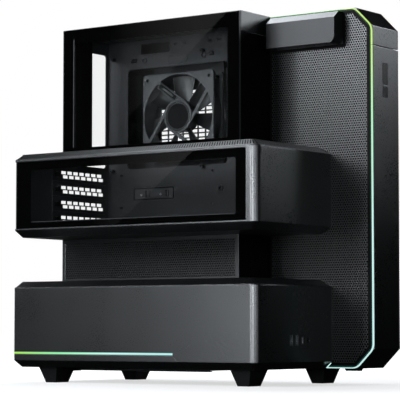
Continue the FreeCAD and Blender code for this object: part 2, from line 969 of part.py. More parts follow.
def make_slab():
    """Slab shell, mesh, light guide and side panel."""
    wall = S.shell_wall
    shell = new_body("slab_shell")
    prism(shell, "YZ", guide_back, panel_face, outline(
        (front, seam),
        *lower_bend(formula(0)),
        (rear_inside, under),
        (rear_inside, floor),
        *reversed(lower_bend(wall)),
        (front + wall, seam),
    ))
    button_x = right - S.button_across
    holes = [
        centred(button_x, z, S.button_width + S.slide_gap * 2, height + S.slide_gap * 2, S.button_radius)
        for label, z, height in button_places()
    ]
    opening(shell, "XZ", front, front + wall, *holes)
    prism(shell, "XZ", front + wall, button_board_y(),
          *[circle(button_x, z, S.boss_post_radius) for z in button_post_heights()])
    lip_front = front + S.lip_start
    prism(shell, "XZ", lip_front, lip_front + S.lip_length, outline(
        (guide_back + S.guide_depth, under),
        (guide_back + S.guide_depth + S.lip_drop, under - S.lip_drop),
        (guide_back + S.lip_width - S.lip_drop, under - S.lip_drop),
        (guide_back + S.lip_width, under),
    ))

    edge = S.guide_width + S.fit_gap
    mesh = new_body("slab_mesh_panel")
    prism(mesh, "YZ", mesh_face, mesh_back, outline(
        (core_inside, under + edge),
        *reversed(lower_bend(edge)),
        *upper_bend(edge),
        (tab_front - S.fit_gap, top - edge),
        (tab_front - S.fit_gap, tab_low - S.fit_gap),
        (tab_rear + S.fit_gap, tab_low - S.fit_gap),
        (tab_rear + S.fit_gap, top - edge),
        (core_inside, top - edge),
    ))

    guide = new_body("slab_light_guide")
    prism(guide, "YZ", mesh_face, guide_back, outline(
        (front, seam),
        *lower_bend(formula(0)),
        (box_front, under),
        (box_front, under + S.guide_width),
        *reversed(lower_bend(S.guide_width)),
        (front + S.guide_width, seam),
    ))

    panel = new_body("right_panel")
    prism(panel, "YZ", panel_face, right, outline(
        (front, seam),
        *lower_bend(formula(0)),
        (rear, under),
        (rear, seam),
    ))
    vent_y = fan_y - S.dash_pitch * (S.vent_columns - 1) / 2
    vent_z = fan_z - S.vent_row_pitch * (S.vent_rows - 1) / 2
    vent = opening(panel, "YZ", panel_face, right, centred(vent_y, vent_z, S.dash_length, S.dash_height))
    row_of(panel, vent, "Y_Axis", S.dash_pitch, S.vent_columns, ("Z_Axis", S.vent_row_pitch, S.vent_rows))


def make_top():
    """Top cover with its skirts, its light guide and the pull tab."""
    wall = S.cover_wall
    cover = new_body("top_cover")
    prism(cover, "YZ", guide_back, right, outline(
        (front, cover_low),
        *upper_bend(formula(0)),
        (rear, top),
        (rear, cover_under),
        *reversed(upper_bend(wall)),
        (front + wall, cover_low),
    ))
    core_left = window_back + S.fit_gap
    prism(cover, "XY", cover_under, top, rectangle((core_left, guide_back + wall), (core_front, rear)))
    prism(cover, "XZ", core_front, core_inside - S.slide_gap, rectangle(
        (core_left, mesh_face), (core_seam + S.fit_gap, top)))
    prism(cover, "YZ", right - wall, right, outline(
        (front, cover_low),
        *upper_bend(formula(0)),
        (rear_inside - S.fit_gap, top),
        (rear_inside - S.fit_gap, cover_low),
    ))
    prism(cover, "YZ", guide_back, guide_back + wall, rectangle((tab_front, tab_rear), (tab_low, top)))
    vent = opening(cover, "XY", cover_under, top, exhaust_slot())
    row_of(cover, vent, "Y_Axis", S.exhaust_pitch, S.exhaust_count, backwards=True)

    guide = new_body("top_light_guide")
    prism(guide, "YZ", mesh_face, guide_back, outline(
        (front, cover_low),
        *upper_bend(formula(0)),
        (core_front, top),
        (core_front, top - S.guide_width),
        *reversed(upper_bend(S.guide_width)),
        (front + S.guide_width, cover_low),
    ))
    make_pull_tab()


def make_pull_tab():
    """Grip of the top cover: a pod with a wall round its hollow, open below and behind."""
    wall = S.cover_wall
    inner_face = mesh_face - S.tab_reach + wall
    tab = new_body("pull_tab")
    space = prism(tab, "XZ", tab_front + wall, tab_rear - wall, outline(
        (inner_face, tab_low),
        (inner_face, tab_fold - wall * MITRE),
        (inner_face + S.tab_slope_run - wall * (1 - MITRE), tab_top - wall),
        (guide_back, tab_top - wall),
        (guide_back, tab_low),
    ))
    doc.recompute()
    cross_edges = [
        (edge.CenterOfMass.z + edge.CenterOfMass.y, f"Edge{number}")
        for number, edge in enumerate(space.Shape.Edges, start=1)
        if edge.BoundBox.XLength > edge.BoundBox.DiagonalLength * 0.999
    ]
    rounding = tab.newObject("PartDesign::Fillet", "Rounding")
    rounding.Base = (space, [min(cross_edges)[1]])
    bind(rounding, "Radius", S.tab_radius - wall)
    doc.recompute()
    faces = list(enumerate(rounding.Shape.Faces, start=1))
    below = min(faces, key=lambda entry: entry[1].BoundBox.ZMax)
    behind = max(faces, key=lambda entry: entry[1].BoundBox.XMin)
    pod = tab.newObject("PartDesign::Thickness", "Pod")
    pod.Base = (rounding, [f"Face{below[0]}", f"Face{behind[0]}"])
    pod.Reversed = False
    pod.Join = "Intersection"
    bind(pod, "Value", wall)
    tab.Tip = pod


# Buttons

def button_board_y():
    """Front face of the button board: behind the stems, the switches and the travel."""
    stem_end = front + S.shell_wall + S.slide_gap + S.button_flange_gauge + S.button_stem
    return stem_end + S.button_travel + S.slide_gap + S.switch_height


def button_post_heights():
    """Heights of the two posts that carry the button board."""
    highest = button_places()[0]
    lowest = button_places()[1]
    return highest[1] + highest[2] / 2 + S.button_board_margin, lowest[1] - lowest[2] / 2 - S.button_board_margin


def make_buttons():
    """Two spring buttons and the board that carries their switches."""
    x = right - S.button_across
    flange_y = front + S.shell_wall + S.slide_gap
    stem_y = flange_y + S.button_flange_gauge
    for label, z, height in button_places():
        button = new_body(label)
        prism(button, "XZ", front + S.button_recess, flange_y,
              centred(x, z, S.button_width, height, S.button_radius))
        prism(button, "XZ", flange_y, stem_y,
              centred(x, z, S.button_width + S.button_flange * 2, height + S.button_flange * 2, S.button_radius))
        prism(button, "XZ", stem_y, stem_y + S.button_stem, circle(x, z, S.button_stem_radius))

    board_y = button_board_y()
    high, low = button_post_heights()
    margin = S.boss_post_radius * 2
    board = new_body("button_board")
    prism(board, "XZ", board_y, board_y + S.board_gauge,
          rectangle((x - S.button_width / 2, x + S.button_width / 2), (low - margin, high + margin)))
    switches = [centred(x, z, S.switch_size, S.switch_size) for label, z, height in button_places()]
    prism(board, "XZ", board_y - S.switch_height, board_y, *switches)


# Front sockets

def io_board_posts():
    """Places of the two posts that carry the socket board, from the left face."""
    return S.usb_a_first - S.io_board_margin, S.jack_place + S.io_board_margin


def make_sockets():
    """Socket cans with their tongues, the round jack, and the board behind them."""
    z = under + S.socket_lift
    back = box_front + S.socket_depth
    ports = (
        ("usb_a_port_1", S.usb_a_first, S.usb_a_width, S.usb_a_height),
        ("usb_a_port_2", S.usb_a_second, S.usb_a_width, S.usb_a_height),
        ("usb_c_port", S.usb_c_place, S.usb_c_width, S.usb_c_height),
    )
    for label, across, width, height in ports:
        x = left + across
        inside = S.can_wall * 2
        port = new_body(label)
        prism(port, "XZ", box_front, back, centred(x, z, width, height))
        opening(port, "XZ", box_front, back - S.can_wall, centred(x, z, width - inside, height - inside))
        tongue = S.tongue_gauge * width / S.usb_a_width
        prism(port, "XZ", box_front + S.can_wall * 2, back, centred(x, z, tongue, height - inside * 3))
    jack_x = left + S.jack_place
    jack = new_body("audio_jack")
    prism(jack, "XZ", box_front, back, circle(jack_x, z, S.jack_radius))
    opening(jack, "XZ", box_front, back - S.can_wall, circle(jack_x, z, S.jack_bore))

    first, last = io_board_posts()
    margin = S.boss_post_radius * 2
    board = new_body("front_io_board")
    prism(board, "XZ", back, back + S.board_gauge, rectangle(
        (left + first - margin, left + last + margin), (z - S.io_board_height / 2, z + S.io_board_height / 2)))


# Card slots and board mounts

def make_slot_covers():
    """Perforated covers over the card slots, with their thumb screws."""
    cover_right = board_back
    cover_left = cover_right - S.cover_length
    thumb_x = cover_left + S.thumb_inset
    inner = rear_inside - S.sheet_gauge
    screws = []
    for k in range(round(S.slot_count.number)):
        z = board_top - S.slot_drop - S.slot_pitch * k
        cover = new_body(f"slot_cover_{k + 1}")
        prism(cover, "XZ", inner, rear_inside,
              rectangle((cover_left, cover_right), (z - S.cover_height / 2, z + S.cover_height / 2)),
              circle(thumb_x, z, S.thumb_shank + S.slide_gap))
        first_x = cover_left + S.dash_margin + S.dash_length / 2
        for shift, rise in ((-S.dash_shift, 1), (formula(0), -1)):
            dash = opening(cover, "XZ", inner, rear_inside,
                           centred(first_x + shift, z + S.dash_row / 2 * rise, S.dash_length, S.dash_height))
            row_of(cover, dash, "X_Axis", S.dash_pitch, S.dash_count)
        head = rod("y", S.thumb_radius, S.thumb_head, thumb_x, inner - S.thumb_head, z)
        shank = rod("y", S.thumb_shank, S.sheet_gauge * 2, thumb_x, inner, z)
        screws.append(fuse(head, shank))
    sub_part(group(*screws), "slot_thumb_screws")


def make_standoffs():
    """Nine hexagon standoffs on the hole grid of the board."""
    posts = []
    for column in (S.column_first, S.column_second, S.column_third):
        for row_drop in (S.row_first, S.row_second, S.row_third):
            y = rear - column
            z = board_top - row_drop
            post = hexagon("x", S.standoff_radius, S.standoff_length, board_back, y, z)
            bore = rod("x", S.standoff_bore, S.standoff_length, board_back, y, z)
            posts.append(cut(post, bore))
    sub_part(group(*posts), "standoffs")


# Fan, drawn about its own axis and then placed

def make_fan():
    """Axial fan: frame with tangent struts, rotor with lofted blades, bracket and screws."""
    half = S.fan_size / 2
    frame = new_body("fan_frame")
    for start in (formula(0), S.fan_depth - S.fan_flange):
        prism(frame, "YZ", start, start + S.fan_flange,
              rectangle((-half, half), (-half, half), S.fan_corner),
              circle(0, 0, duct_radius))
    prism(frame, "YZ", formula(0), S.fan_depth,
          circle(0, 0, duct_radius + S.duct_wall), circle(0, 0, duct_radius))
    hole = half - S.fan_hole_inset
    corners = [(hole * y, hole * z) for y in (-1, 1) for z in (-1, 1)]
    opening(frame, "YZ", formula(0), S.fan_depth, *[circle(y, z, S.fan_hole_radius) for y, z in corners])
    prism(frame, "YZ", formula(0), S.strut_depth, circle(0, 0, S.hub_radius))
    prism(frame, "YZ", S.strut_depth, S.strut_depth + S.bearing_length,
          circle(0, 0, S.bearing_radius), circle(0, 0, S.shaft_radius + S.slide_gap))
    strut = prism(frame, "YZ", formula(0), S.strut_depth, rectangle(
        (-S.hub_radius, S.strut_width - S.hub_radius), (formula(0), duct_radius - S.strut_lap)))
    bind(strut.Profile[0], "AttachmentOffset.Rotation.Angle", S.strut_angle)
    ring_of(frame, strut, S.strut_count)
    place(frame, fan_face, fan_y, fan_z)

    rotor = common(make_impeller(), rod("x", duct_radius - S.blade_tip_gap, S.fan_depth, 0, 0, 0))
    place(sub_part(rotor, "fan_rotor"), fan_face, fan_y, fan_z)
    make_fan_bracket(corners)


def make_impeller():
    """Hub cup on its shaft, with crescent blades lofted out from it."""
    impeller = tool_body("impeller")
    sketch = new_sketch(impeller, "XZ", formula(0))
    cup = S.rotor_end - S.rotor_wall
    bore = S.rotor_radius - S.rotor_wall
    draw_on(sketch, [outline(
        (S.strut_depth + S.slide_gap, formula(0)),
        (S.strut_depth + S.slide_gap, S.shaft_radius),
        (cup, S.shaft_radius),
        (cup, bore),
        (S.rotor_start, bore),
        (S.rotor_start, S.rotor_radius),
        (S.rotor_end, S.rotor_radius),
        (S.rotor_end, formula(0)),
    )])
    hub = impeller.newObject("PartDesign::Revolution", "Hub")
    hub.Profile = sketch
    hub.ReferenceAxis = (sketch, ["H_Axis"])
    low = S.rotor_start + S.blade_inset
    high = S.rotor_end - S.blade_inset
    root = draw_on(new_sketch(impeller, "XY", bore + S.rotor_wall / 2), [crescent(
        (low, S.root_half_chord), (high, -S.root_half_chord), S.root_outer_bow, S.root_inner_bow)])
    tip = draw_on(new_sketch(impeller, "XY", duct_radius + S.duct_wall), [crescent(
        (low, S.tip_half_chord), (high, -S.tip_half_chord), S.tip_outer_bow, S.tip_inner_bow)])
    blade = impeller.newObject("PartDesign::AdditiveLoft", "Blade")
    blade.Profile = root
    blade.Sections = [tip]
    ring_of(impeller, blade, S.blade_count)
    return impeller


def make_fan_bracket(corners):
    """Folded bracket that hangs the fan behind the tray, and its four screws."""
    gauge = S.sheet_gauge
    half = S.fan_size / 2
    high = tray_window_top + S.bracket_lip
    low = tray_window_low - S.bracket_lip
    flange = S.bracket_flange
    bracket = new_body("fan_bracket")
    prism(bracket, "XZ", fan_y - half, fan_y + half, outline(
        (tray_back, high + flange),
        (tray_back, high - gauge),
        (fan_back, high - gauge),
        (fan_back, low + gauge),
        (tray_back, low + gauge),
        (tray_back, low - flange),
        (tray_back + gauge, low - flange),
        (tray_back + gauge, low),
        (fan_back + gauge, low),
        (fan_back + gauge, high),
        (tray_back + gauge, high),
        (tray_back + gauge, high + flange),
    ))
    opening(bracket, "YZ", fan_back, fan_back + gauge,
            circle(fan_y, fan_z, duct_radius),
            *[circle(fan_y + y, fan_z + z, S.fan_hole_radius) for y, z in corners])
    screws = []
    for y, z in corners:
        head_x = fan_back + gauge
        head = rod("x", S.screw_head_radius, S.screw_head, head_x, fan_y + y, fan_z + z)
        shank = rod("x", S.screw_shank, S.fan_depth / 2, head_x - S.fan_depth / 2, fan_y + y, fan_z + z)
        screws.append(fuse(head, shank))
    sub_part(group(*screws), "fan_screws")


# Underside and cable space

def make_feet():
    """Four tapered feet, each lofted from its top to its sole."""
    left_x = left + S.foot_left
    right_x = right - S.foot_right
    rear_y = rear - S.foot_rear
    front_y = front + S.foot_front
    places = {
        "foot_rear_left": (left_x, rear_y),
        "foot_front_left": (left_x, front_y),
        "foot_rear_right": (right_x, rear_y),
        "foot_front_right": (right_x, front_y),
    }
    for label, (x, y) in places.items():
        foot = new_body(label)
        sole = draw_on(new_sketch(foot, "XY", formula(0)), [
            centred(formula(0), formula(0), S.foot_low_length, S.foot_low_width)])
        crown = draw_on(new_sketch(foot, "XY", under), [
            centred(formula(0), formula(0), S.foot_top_length, S.foot_top_width)])
        loft = foot.newObject("PartDesign::AdditiveLoft", "Loft")
        loft.Profile = sole
        loft.Sections = [crown]
        loft.Ruled = True
        place(foot, x, y, 0)


def make_filter():
    """Dust filter under the power supply, and the two rails that it slides in."""
    gap = S.slide_gap
    x_low = filter_left
    x_high = filter_right
    y_high = rear_inside
    y_low = y_high - S.filter_length
    z_high = under - gap
    z_low = z_high - S.filter_gauge
    border = S.filter_border
    tray = new_body("dust_filter")
    prism(tray, "XY", z_low, z_high, rectangle((x_low, x_high), (y_low, y_high)))
    opening(tray, "XY", z_low + S.filter_mesh, z_high, rectangle(
        (x_low + border, x_high - border), (y_low + border, y_high - border), S.fold_radius))
    middle = (x_low + x_high) / 2
    half_lip = S.filter_lip_width / 2
    prism(tray, "XY", z_low - S.filter_lip, z_low, rectangle(
        (middle - half_lip, middle + half_lip), (y_high - S.filter_lip, y_high)))

    gauge = S.rail_gauge
    rails = []
    for edge, step in ((x_low, -1), (x_high, 1)):
        rail = tool_body("rail")
        inner = edge + gap * step
        outer = inner + gauge * step
        catch = edge - S.rail_lip * step
        prism(rail, "XZ", y_low, y_high, outline(
            (inner, under),
            (outer, under),
            (outer, z_low - gap - gauge),
            (catch, z_low - gap - gauge),
            (catch, z_low - gap),
            (inner, z_low - gap),
        ))
        rails.append(rail)
    sub_part(group(*rails), "filter_rails")


def make_drive_bracket():
    """Folded plate for two flat drives on the back of the tray."""
    gauge = S.sheet_gauge
    y_low = core_inside + S.drive_front
    y_high = y_low + S.drive_width
    z_low = base_top + S.drive_low
    far = tray_back + S.drive_stand
    flange = S.drive_flange
    bracket = new_body("drive_bracket")
    prism(bracket, "XY", z_low, z_low + S.drive_height, outline(
        (tray_back, y_low - flange),
        (tray_back, y_low + gauge),
        (far, y_low + gauge),
        (far, y_high - gauge),
        (tray_back, y_high - gauge),
        (tray_back, y_high + flange),
        (tray_back + gauge, y_high + flange),
        (tray_back + gauge, y_high),
        (far + gauge, y_high),
        (far + gauge, y_low),
        (tray_back + gauge, y_low),
        (tray_back + gauge, y_low - flange),
    ))
    middle_y = (y_low + y_high) / 2
    middle_z = z_low + S.drive_height / 2
    holes = [
        circle(middle_y + S.drive_hole_across / 2 * y, middle_z + S.drive_hole_up / 2 * z, S.drive_hole_radius)
        for y in (-1, 1) for z in (-1, 1)
    ]
    opening(bracket, "YZ", far, far + gauge, *holes)


make_base_box()
make_bay()
make_rear_panel()
make_tray()
make_tray_clips()
make_plates()
make_posts()
make_tower_glass()
make_slab()
make_top()
make_buttons()
make_sockets()
make_slot_covers()
make_standoffs()
make_fan()
make_feet()
make_filter()
make_drive_bracket()

doc.recompute()
for item in doc.Objects:
    if "Invalid" in item.State or "Error" in item.State:
        raise RuntimeError(f"{item.Label} ({item.Name}) did not build: {item.State}")
for item in parts:
    if item.Shape.isNull() or not item.Shape.isValid():
        raise RuntimeError(f"{item.Label} has no sound shape")

os.makedirs("parts", exist_ok=True)
for item in parts:
    item.Shape.exportStep(f"parts/{item.Label}.step")
    print(item.Label, len(item.Shape.Solids), round(item.Shape.Volume))
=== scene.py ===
import json
import math

import bpy
import numpy as np
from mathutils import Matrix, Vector


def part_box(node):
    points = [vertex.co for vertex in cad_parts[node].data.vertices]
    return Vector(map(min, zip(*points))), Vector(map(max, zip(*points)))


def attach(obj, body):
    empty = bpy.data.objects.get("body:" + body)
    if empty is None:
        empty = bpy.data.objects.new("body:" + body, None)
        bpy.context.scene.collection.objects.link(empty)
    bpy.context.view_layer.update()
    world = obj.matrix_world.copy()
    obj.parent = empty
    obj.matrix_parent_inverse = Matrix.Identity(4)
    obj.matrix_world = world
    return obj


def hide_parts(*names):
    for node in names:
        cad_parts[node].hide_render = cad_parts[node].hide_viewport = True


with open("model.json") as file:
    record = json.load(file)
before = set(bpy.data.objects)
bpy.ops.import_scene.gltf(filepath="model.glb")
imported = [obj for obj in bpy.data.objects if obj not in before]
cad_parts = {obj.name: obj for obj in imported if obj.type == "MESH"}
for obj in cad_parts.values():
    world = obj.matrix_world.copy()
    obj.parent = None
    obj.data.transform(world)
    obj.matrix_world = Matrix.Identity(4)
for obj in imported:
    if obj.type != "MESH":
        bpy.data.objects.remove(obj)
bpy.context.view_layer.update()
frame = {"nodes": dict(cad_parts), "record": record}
nodes = frame["nodes"]

# Lengths are in millimetres until a mesh is made. The lamps, the cards and the camera stand in metres.
MM = 0.001


def span(node):
    """Lowest and highest corner of a solid, in millimetres."""
    low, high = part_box(node)
    return np.array(low) / MM, np.array(high) / MM


mesh_low, mesh_high = span("slab_mesh_panel")
tab_low, tab_high = span("pull_tab")
bay_low, bay_high = span("bay_shell")
base_low, base_high = span("base_shell")
recess_low, recess_high = span("recess_mesh_panel")
tower_pane_low, tower_pane_high = span("tower_glass")
bay_pane_low, bay_pane_high = span("bay_glass")
guide_low, guide_high = span("slab_light_guide")
cover_low, cover_high = span("top_cover")
strip_low, strip_high = span("base_light_strip")
fan_low, fan_high = span("fan_frame")
slab_front = span("slab_shell")[0][1]
core_front = span("tower_front_panel")[0][1]
clip_face = span("tray_clips")[0][0]
TRAY_GAUGE = 1
tray_face = span("motherboard_tray")[1][0] - TRAY_GAUGE

# Folds of the boxes and the slab, as the solids have them.
SLAB_CHAMFER = 25
FOLD_RUN = 16
FOLD_RISE = 9
FOLD_LENGTH = math.hypot(FOLD_RUN, FOLD_RISE)
FACE_RADIUS = 10
FOLD_RADIUS = 4


# Materials

def linear(code):
    """Linear colour with full alpha, from an sRGB hex code."""
    channels = np.array([int(code[i:i + 2], 16) for i in (1, 3, 5)]) / 255
    value = np.where(channels <= 0.04045, channels / 12.92, ((channels + 0.055) / 1.055) ** 2.4)
    return (*value.tolist(), 1.0)


def add(tree, kind, inputs=None, **settings):
    """Add one shader node with its settings; an input takes a value, or a socket that it is linked to."""
    item = tree.nodes.new("ShaderNode" + kind)
    for name, choice in settings.items():
        setattr(item, name, choice)
    for name, source in (inputs or {}).items():
        if isinstance(source, bpy.types.NodeSocket):
            tree.links.new(source, item.inputs[name])
        else:
            item.inputs[name].default_value = source
    return item


def new_material(name):
    """An empty material: its node tree and its output node."""
    material = bpy.data.materials.new(name)
    material.use_nodes = True
    material.node_tree.nodes.clear()
    return material, material.node_tree, add(material.node_tree, "OutputMaterial")


# The peel of the powder coat is really about 0.4 mm across, and is drawn coarser so that it shows.
PEEL = 1.3
COAT_DRIFT = 60


def coated_steel(name, colour, roughness, bump, edge_mm, shine=0.5):
    """Sheet steel under a baked powder coat.

    The coat is satin, with a fine orange peel that breaks up the highlights, and a gloss that drifts slowly
    over the sheet. It is round over each fold.
    """
    material, tree, output = new_material(name)
    place = add(tree, "TexCoord").outputs["Object"]
    peel = add(tree, "TexNoise", {"Vector": place, "Scale": 1 / (PEEL * MM), "Detail": 2.0, "Roughness": 0.6})
    drift = add(tree, "TexNoise", {"Vector": place, "Scale": 1 / (COAT_DRIFT * MM), "Detail": 1.0})
    blend = add(tree, "Math", {0: peel.outputs["Fac"], 1: 0.7}, operation="MULTIPLY")
    mottle = add(tree, "Math", {0: drift.outputs["Fac"], 1: 0.3, 2: blend.outputs[0]},
                 operation="MULTIPLY_ADD")
    gloss = add(tree, "MapRange", {"Value": mottle.outputs[0], "From Min": 0.3, "From Max": 0.7,
                                   "To Min": roughness - 0.03, "To Max": roughness + 0.03})
    shade = add(tree, "MapRange", {"Value": peel.outputs["Fac"], "From Min": 0.3, "From Max": 0.7,
                                   "To Min": 0.75, "To Max": 1.25})
    tint = add(tree, "Mix", {0: 1.0, 6: linear(colour), 7: shade.outputs[0]},
               data_type="RGBA", blend_type="MULTIPLY")
    edge = add(tree, "Bevel", {"Radius": edge_mm * MM}, samples=4)
    relief = add(tree, "Bump", {"Height": peel.outputs["Fac"], "Strength": bump, "Distance": 0.1 * MM,
                                "Normal": edge.outputs[0]})
    coat = add(tree, "BsdfPrincipled", {"Base Color": tint.outputs[2], "Roughness": gloss.outputs[0],
                                        "Specular IOR Level": shine, "Normal": relief.outputs[0]})
    tree.links.new(coat.outputs[0], output.inputs["Surface"])
    return material


def moulded_plastic(name, colour, roughness, grain_mm, bump, edge_mm, shine=0.5):
    """Injection moulded plastic with a spark eroded grain, which gives a soft even sheen.

    It also gives the screen, the label, the frit, the foam and the boards, whose grain is about as fine.
    """
    material, tree, output = new_material(name)
    place = add(tree, "TexCoord").outputs["Object"]
    grain = add(tree, "TexNoise", {"Vector": place, "Scale": 1 / (grain_mm * MM), "Detail": 3.0})
    gloss = add(tree, "MapRange", {"Value": grain.outputs["Fac"], "From Min": 0.3, "From Max": 0.7,
                                   "To Min": roughness - 0.05, "To Max": roughness + 0.05})
    edge = add(tree, "Bevel", {"Radius": edge_mm * MM}, samples=4)
    relief = add(tree, "Bump", {"Height": grain.outputs["Fac"], "Strength": bump, "Distance": 0.05 * MM,
                                "Normal": edge.outputs[0]})
    body = add(tree, "BsdfPrincipled", {"Base Color": linear(colour), "Roughness": gloss.outputs[0],
                                        "Specular IOR Level": shine, "Normal": relief.outputs[0]})
    tree.links.new(body.outputs[0], output.inputs["Surface"])
    return material


DRAWING_LINE = 0.8


def plated_steel(name, colour, roughness):
    """Zinc or nickel plated steel with faint drawing lines, which stretch its highlights."""
    material, tree, output = new_material(name)
    place = add(tree, "TexCoord").outputs["Object"]
    stretch = add(tree, "Mapping", {"Vector": place, "Scale": (1, 0.1, 1)})
    lines = add(tree, "TexNoise", {"Vector": stretch.outputs[0], "Scale": 1 / (DRAWING_LINE * MM),
                                   "Detail": 2.0})
    gloss = add(tree, "MapRange", {"Value": lines.outputs["Fac"], "From Min": 0.3, "From Max": 0.7,
                                   "To Min": roughness - 0.08, "To Max": roughness + 0.08})
    metal = add(tree, "BsdfPrincipled", {"Base Color": linear(colour), "Metallic": 1.0,
                                         "Roughness": gloss.outputs[0]})
    tree.links.new(metal.outputs[0], output.inputs["Surface"])
    return material


GRINDING_GRAIN = 0.5


def tinted_glass(name, tint):
    """Tempered float glass with a grey tint: clear, flat and mirror smooth, and it lets the lamps through.

    Its narrow edges are ground, so they are matt and grey with a fine grain.
    """
    material, tree, output = new_material(name)
    glass = add(tree, "BsdfPrincipled", {"Base Color": linear(tint), "Roughness": 0.0, "IOR": 1.5,
                                         "Transmission Weight": 1.0})
    clear = add(tree, "BsdfTransparent", {"Color": linear(tint)})
    path = add(tree, "LightPath")
    pane = add(tree, "MixShader", {0: path.outputs["Is Shadow Ray"], 1: glass.outputs[0],
                                   2: clear.outputs[0]})
    place = add(tree, "TexCoord")
    grain = add(tree, "TexNoise", {"Vector": place.outputs["Object"], "Scale": 1 / (GRINDING_GRAIN * MM),
                                   "Detail": 1.0})
    gloss = add(tree, "MapRange", {"Value": grain.outputs["Fac"], "To Min": 0.45, "To Max": 0.65})
    ground = add(tree, "BsdfPrincipled", {"Base Color": linear("#1C1E1F"), "Roughness": gloss.outputs[0]})
    facing = add(tree, "SeparateXYZ", {0: place.outputs["Normal"]})
    sideways = add(tree, "Math", {0: facing.outputs[0]}, operation="ABSOLUTE")
    narrow = add(tree, "Math", {0: sideways.outputs[0], 1: 0.5}, operation="LESS_THAN")
    surface = add(tree, "MixShader", {0: narrow.outputs[0], 1: pane.outputs[0], 2: ground.outputs[0]})
    tree.links.new(surface.outputs[0], output.inputs["Surface"])
    return material


FROST_GRAIN = 1.5


def lit_acrylic(name, axis, stops, band, rim, shine=0.5):
    """Frosted acrylic light guide, lit from its edge, whose colour runs along one axis between places in mm.

    The band gives an axis and two places on it: the glow is full midway between them, and falls to the
    rim's share of it at both.
    """
    material, tree, output = new_material(name)
    place = add(tree, "TexCoord").outputs["Object"]
    parts = add(tree, "SeparateXYZ", {0: place})
    first, last = stops[0][0], stops[-1][0]
    along = add(tree, "MapRange", {"Value": parts.outputs[axis], "From Min": first * MM,
                                   "From Max": last * MM})
    ramp = add(tree, "ValToRGB", {"Fac": along.outputs[0]})
    elements = ramp.color_ramp.elements
    while len(elements) < len(stops):
        elements.new(0.5)
    for element, (level, colour) in zip(elements, stops):
        element.position = (level - first) / (last - first)
        element.color = linear(colour)
    frost = add(tree, "TexNoise", {"Vector": place, "Scale": 1 / (FROST_GRAIN * MM), "Detail": 1.0})
    gloss = add(tree, "MapRange", {"Value": frost.outputs["Fac"], "To Min": 0.3, "To Max": 0.5})
    across, low, high = band
    level = add(tree, "MapRange", {"Value": parts.outputs[across], "From Min": low * MM,
                                   "From Max": high * MM, "To Min": -1.0, "To Max": 1.0})
    offset = add(tree, "Math", {0: level.outputs[0]}, operation="ABSOLUTE")
    fall = add(tree, "Math", {0: offset.outputs[0], 1: 1.5}, operation="POWER")
    glow = add(tree, "MapRange", {"Value": fall.outputs[0], "To Min": 1.0, "To Max": rim})
    body = add(tree, "BsdfPrincipled", {"Base Color": linear("#1A1C1B"), "Roughness": gloss.outputs[0],
                                        "Specular IOR Level": shine, "Emission Color": ramp.outputs[0],
                                        "Emission Strength": glow.outputs[0]})
    tree.links.new(body.outputs[0], output.inputs["Surface"])
    return material


# Powder coat: satin on the boxes, duller on the chassis, and with hardly any sheen on posts and hems.
shell_steel = coated_steel("powder_coated_steel_shell", "#080909",
                           roughness=0.29, bump=0.05, edge_mm=1.6, shine=0.9)
chassis_steel = coated_steel("powder_coated_steel_chassis", "#121314",
                             roughness=0.42, bump=0.2, edge_mm=0.4, shine=0.26)
mesh_steel = coated_steel("powder_coated_steel_mesh", "#0B0C0C", roughness=0.31, bump=0.1, edge_mm=0.2)
matt_steel = coated_steel("powder_coated_steel_matt", "#030303",
                          roughness=0.5, bump=0.2, edge_mm=0.4, shine=0.04)
# Moulded parts: a dull tab, feet and fan, a smoother rotor, and glossy buttons.
tab_plastic = moulded_plastic("moulded_abs_tab", "#0E0F10",
                              roughness=0.44, grain_mm=0.9, bump=0.15, edge_mm=0.8, shine=0.26)
foot_plastic = moulded_plastic("moulded_abs_foot", "#070808",
                               roughness=0.45, grain_mm=0.9, bump=0.2, edge_mm=1.0, shine=0.3)
fan_plastic = moulded_plastic("moulded_pbt_fan", "#1A1B1C",
                              roughness=0.5, grain_mm=0.8, bump=0.15, edge_mm=0.4, shine=0.3)
rotor_plastic = moulded_plastic("moulded_pbt_rotor", "#0B0C0C",
                                roughness=0.36, grain_mm=0.8, bump=0.08, edge_mm=0.3)
button_plastic = moulded_plastic("moulded_abs_button", "#101112",
                                 roughness=0.22, grain_mm=0.7, bump=0.05, edge_mm=0.5)
filter_nylon = moulded_plastic("moulded_nylon_filter", "#121314",
                               roughness=0.55, grain_mm=0.8, bump=0.2, edge_mm=0.5)
# Flat black sheet behind the meshes and slots: painted shade, which stands for the shadow seen through the
# holes.
shade_sheet_black = moulded_plastic("black_shade_sheet", "#020202",
                               roughness=0.8, grain_mm=0.8, bump=0.2, edge_mm=0.1, shine=0.0)
# Printed film: smooth and black.
label_film = moulded_plastic("printed_vinyl_label", "#040404",
                             roughness=0.4, grain_mm=0.8, bump=0.02, edge_mm=0.1, shine=0.05)
# Enamel fired on to the glass: even and matt.
frit = moulded_plastic("black_ceramic_frit", "#020202",
                       roughness=0.6, grain_mm=0.6, bump=0.05, edge_mm=0.1, shine=0.0)
# Foam: coarse and dull.
seal_foam = moulded_plastic("closed_cell_foam_seal", "#050505",
                            roughness=0.9, grain_mm=1.2, bump=0.5, edge_mm=0.3, shine=0.05)
# Laminate under a green mask: smooth, with a faint weave.
board_laminate = moulded_plastic("glass_fibre_board", "#0B1610",
                                 roughness=0.4, grain_mm=0.6, bump=0.1, edge_mm=0.1)
bright_steel = plated_steel("nickel_plated_steel", "#9C9DA0", roughness=0.3)
dark_steel = plated_steel("black_zinc_steel", "#2A2B2D", roughness=0.38)
pane_glass = tinted_glass("tempered_glass_grey", "#FAFBFB")

LIME = "#BEEA6E"
MINT = "#B0F6C3"
CYAN = "#CFF8F4"
guide_band = (0, guide_low[0], guide_high[0])
strip_band = (2, strip_low[2], strip_high[2])

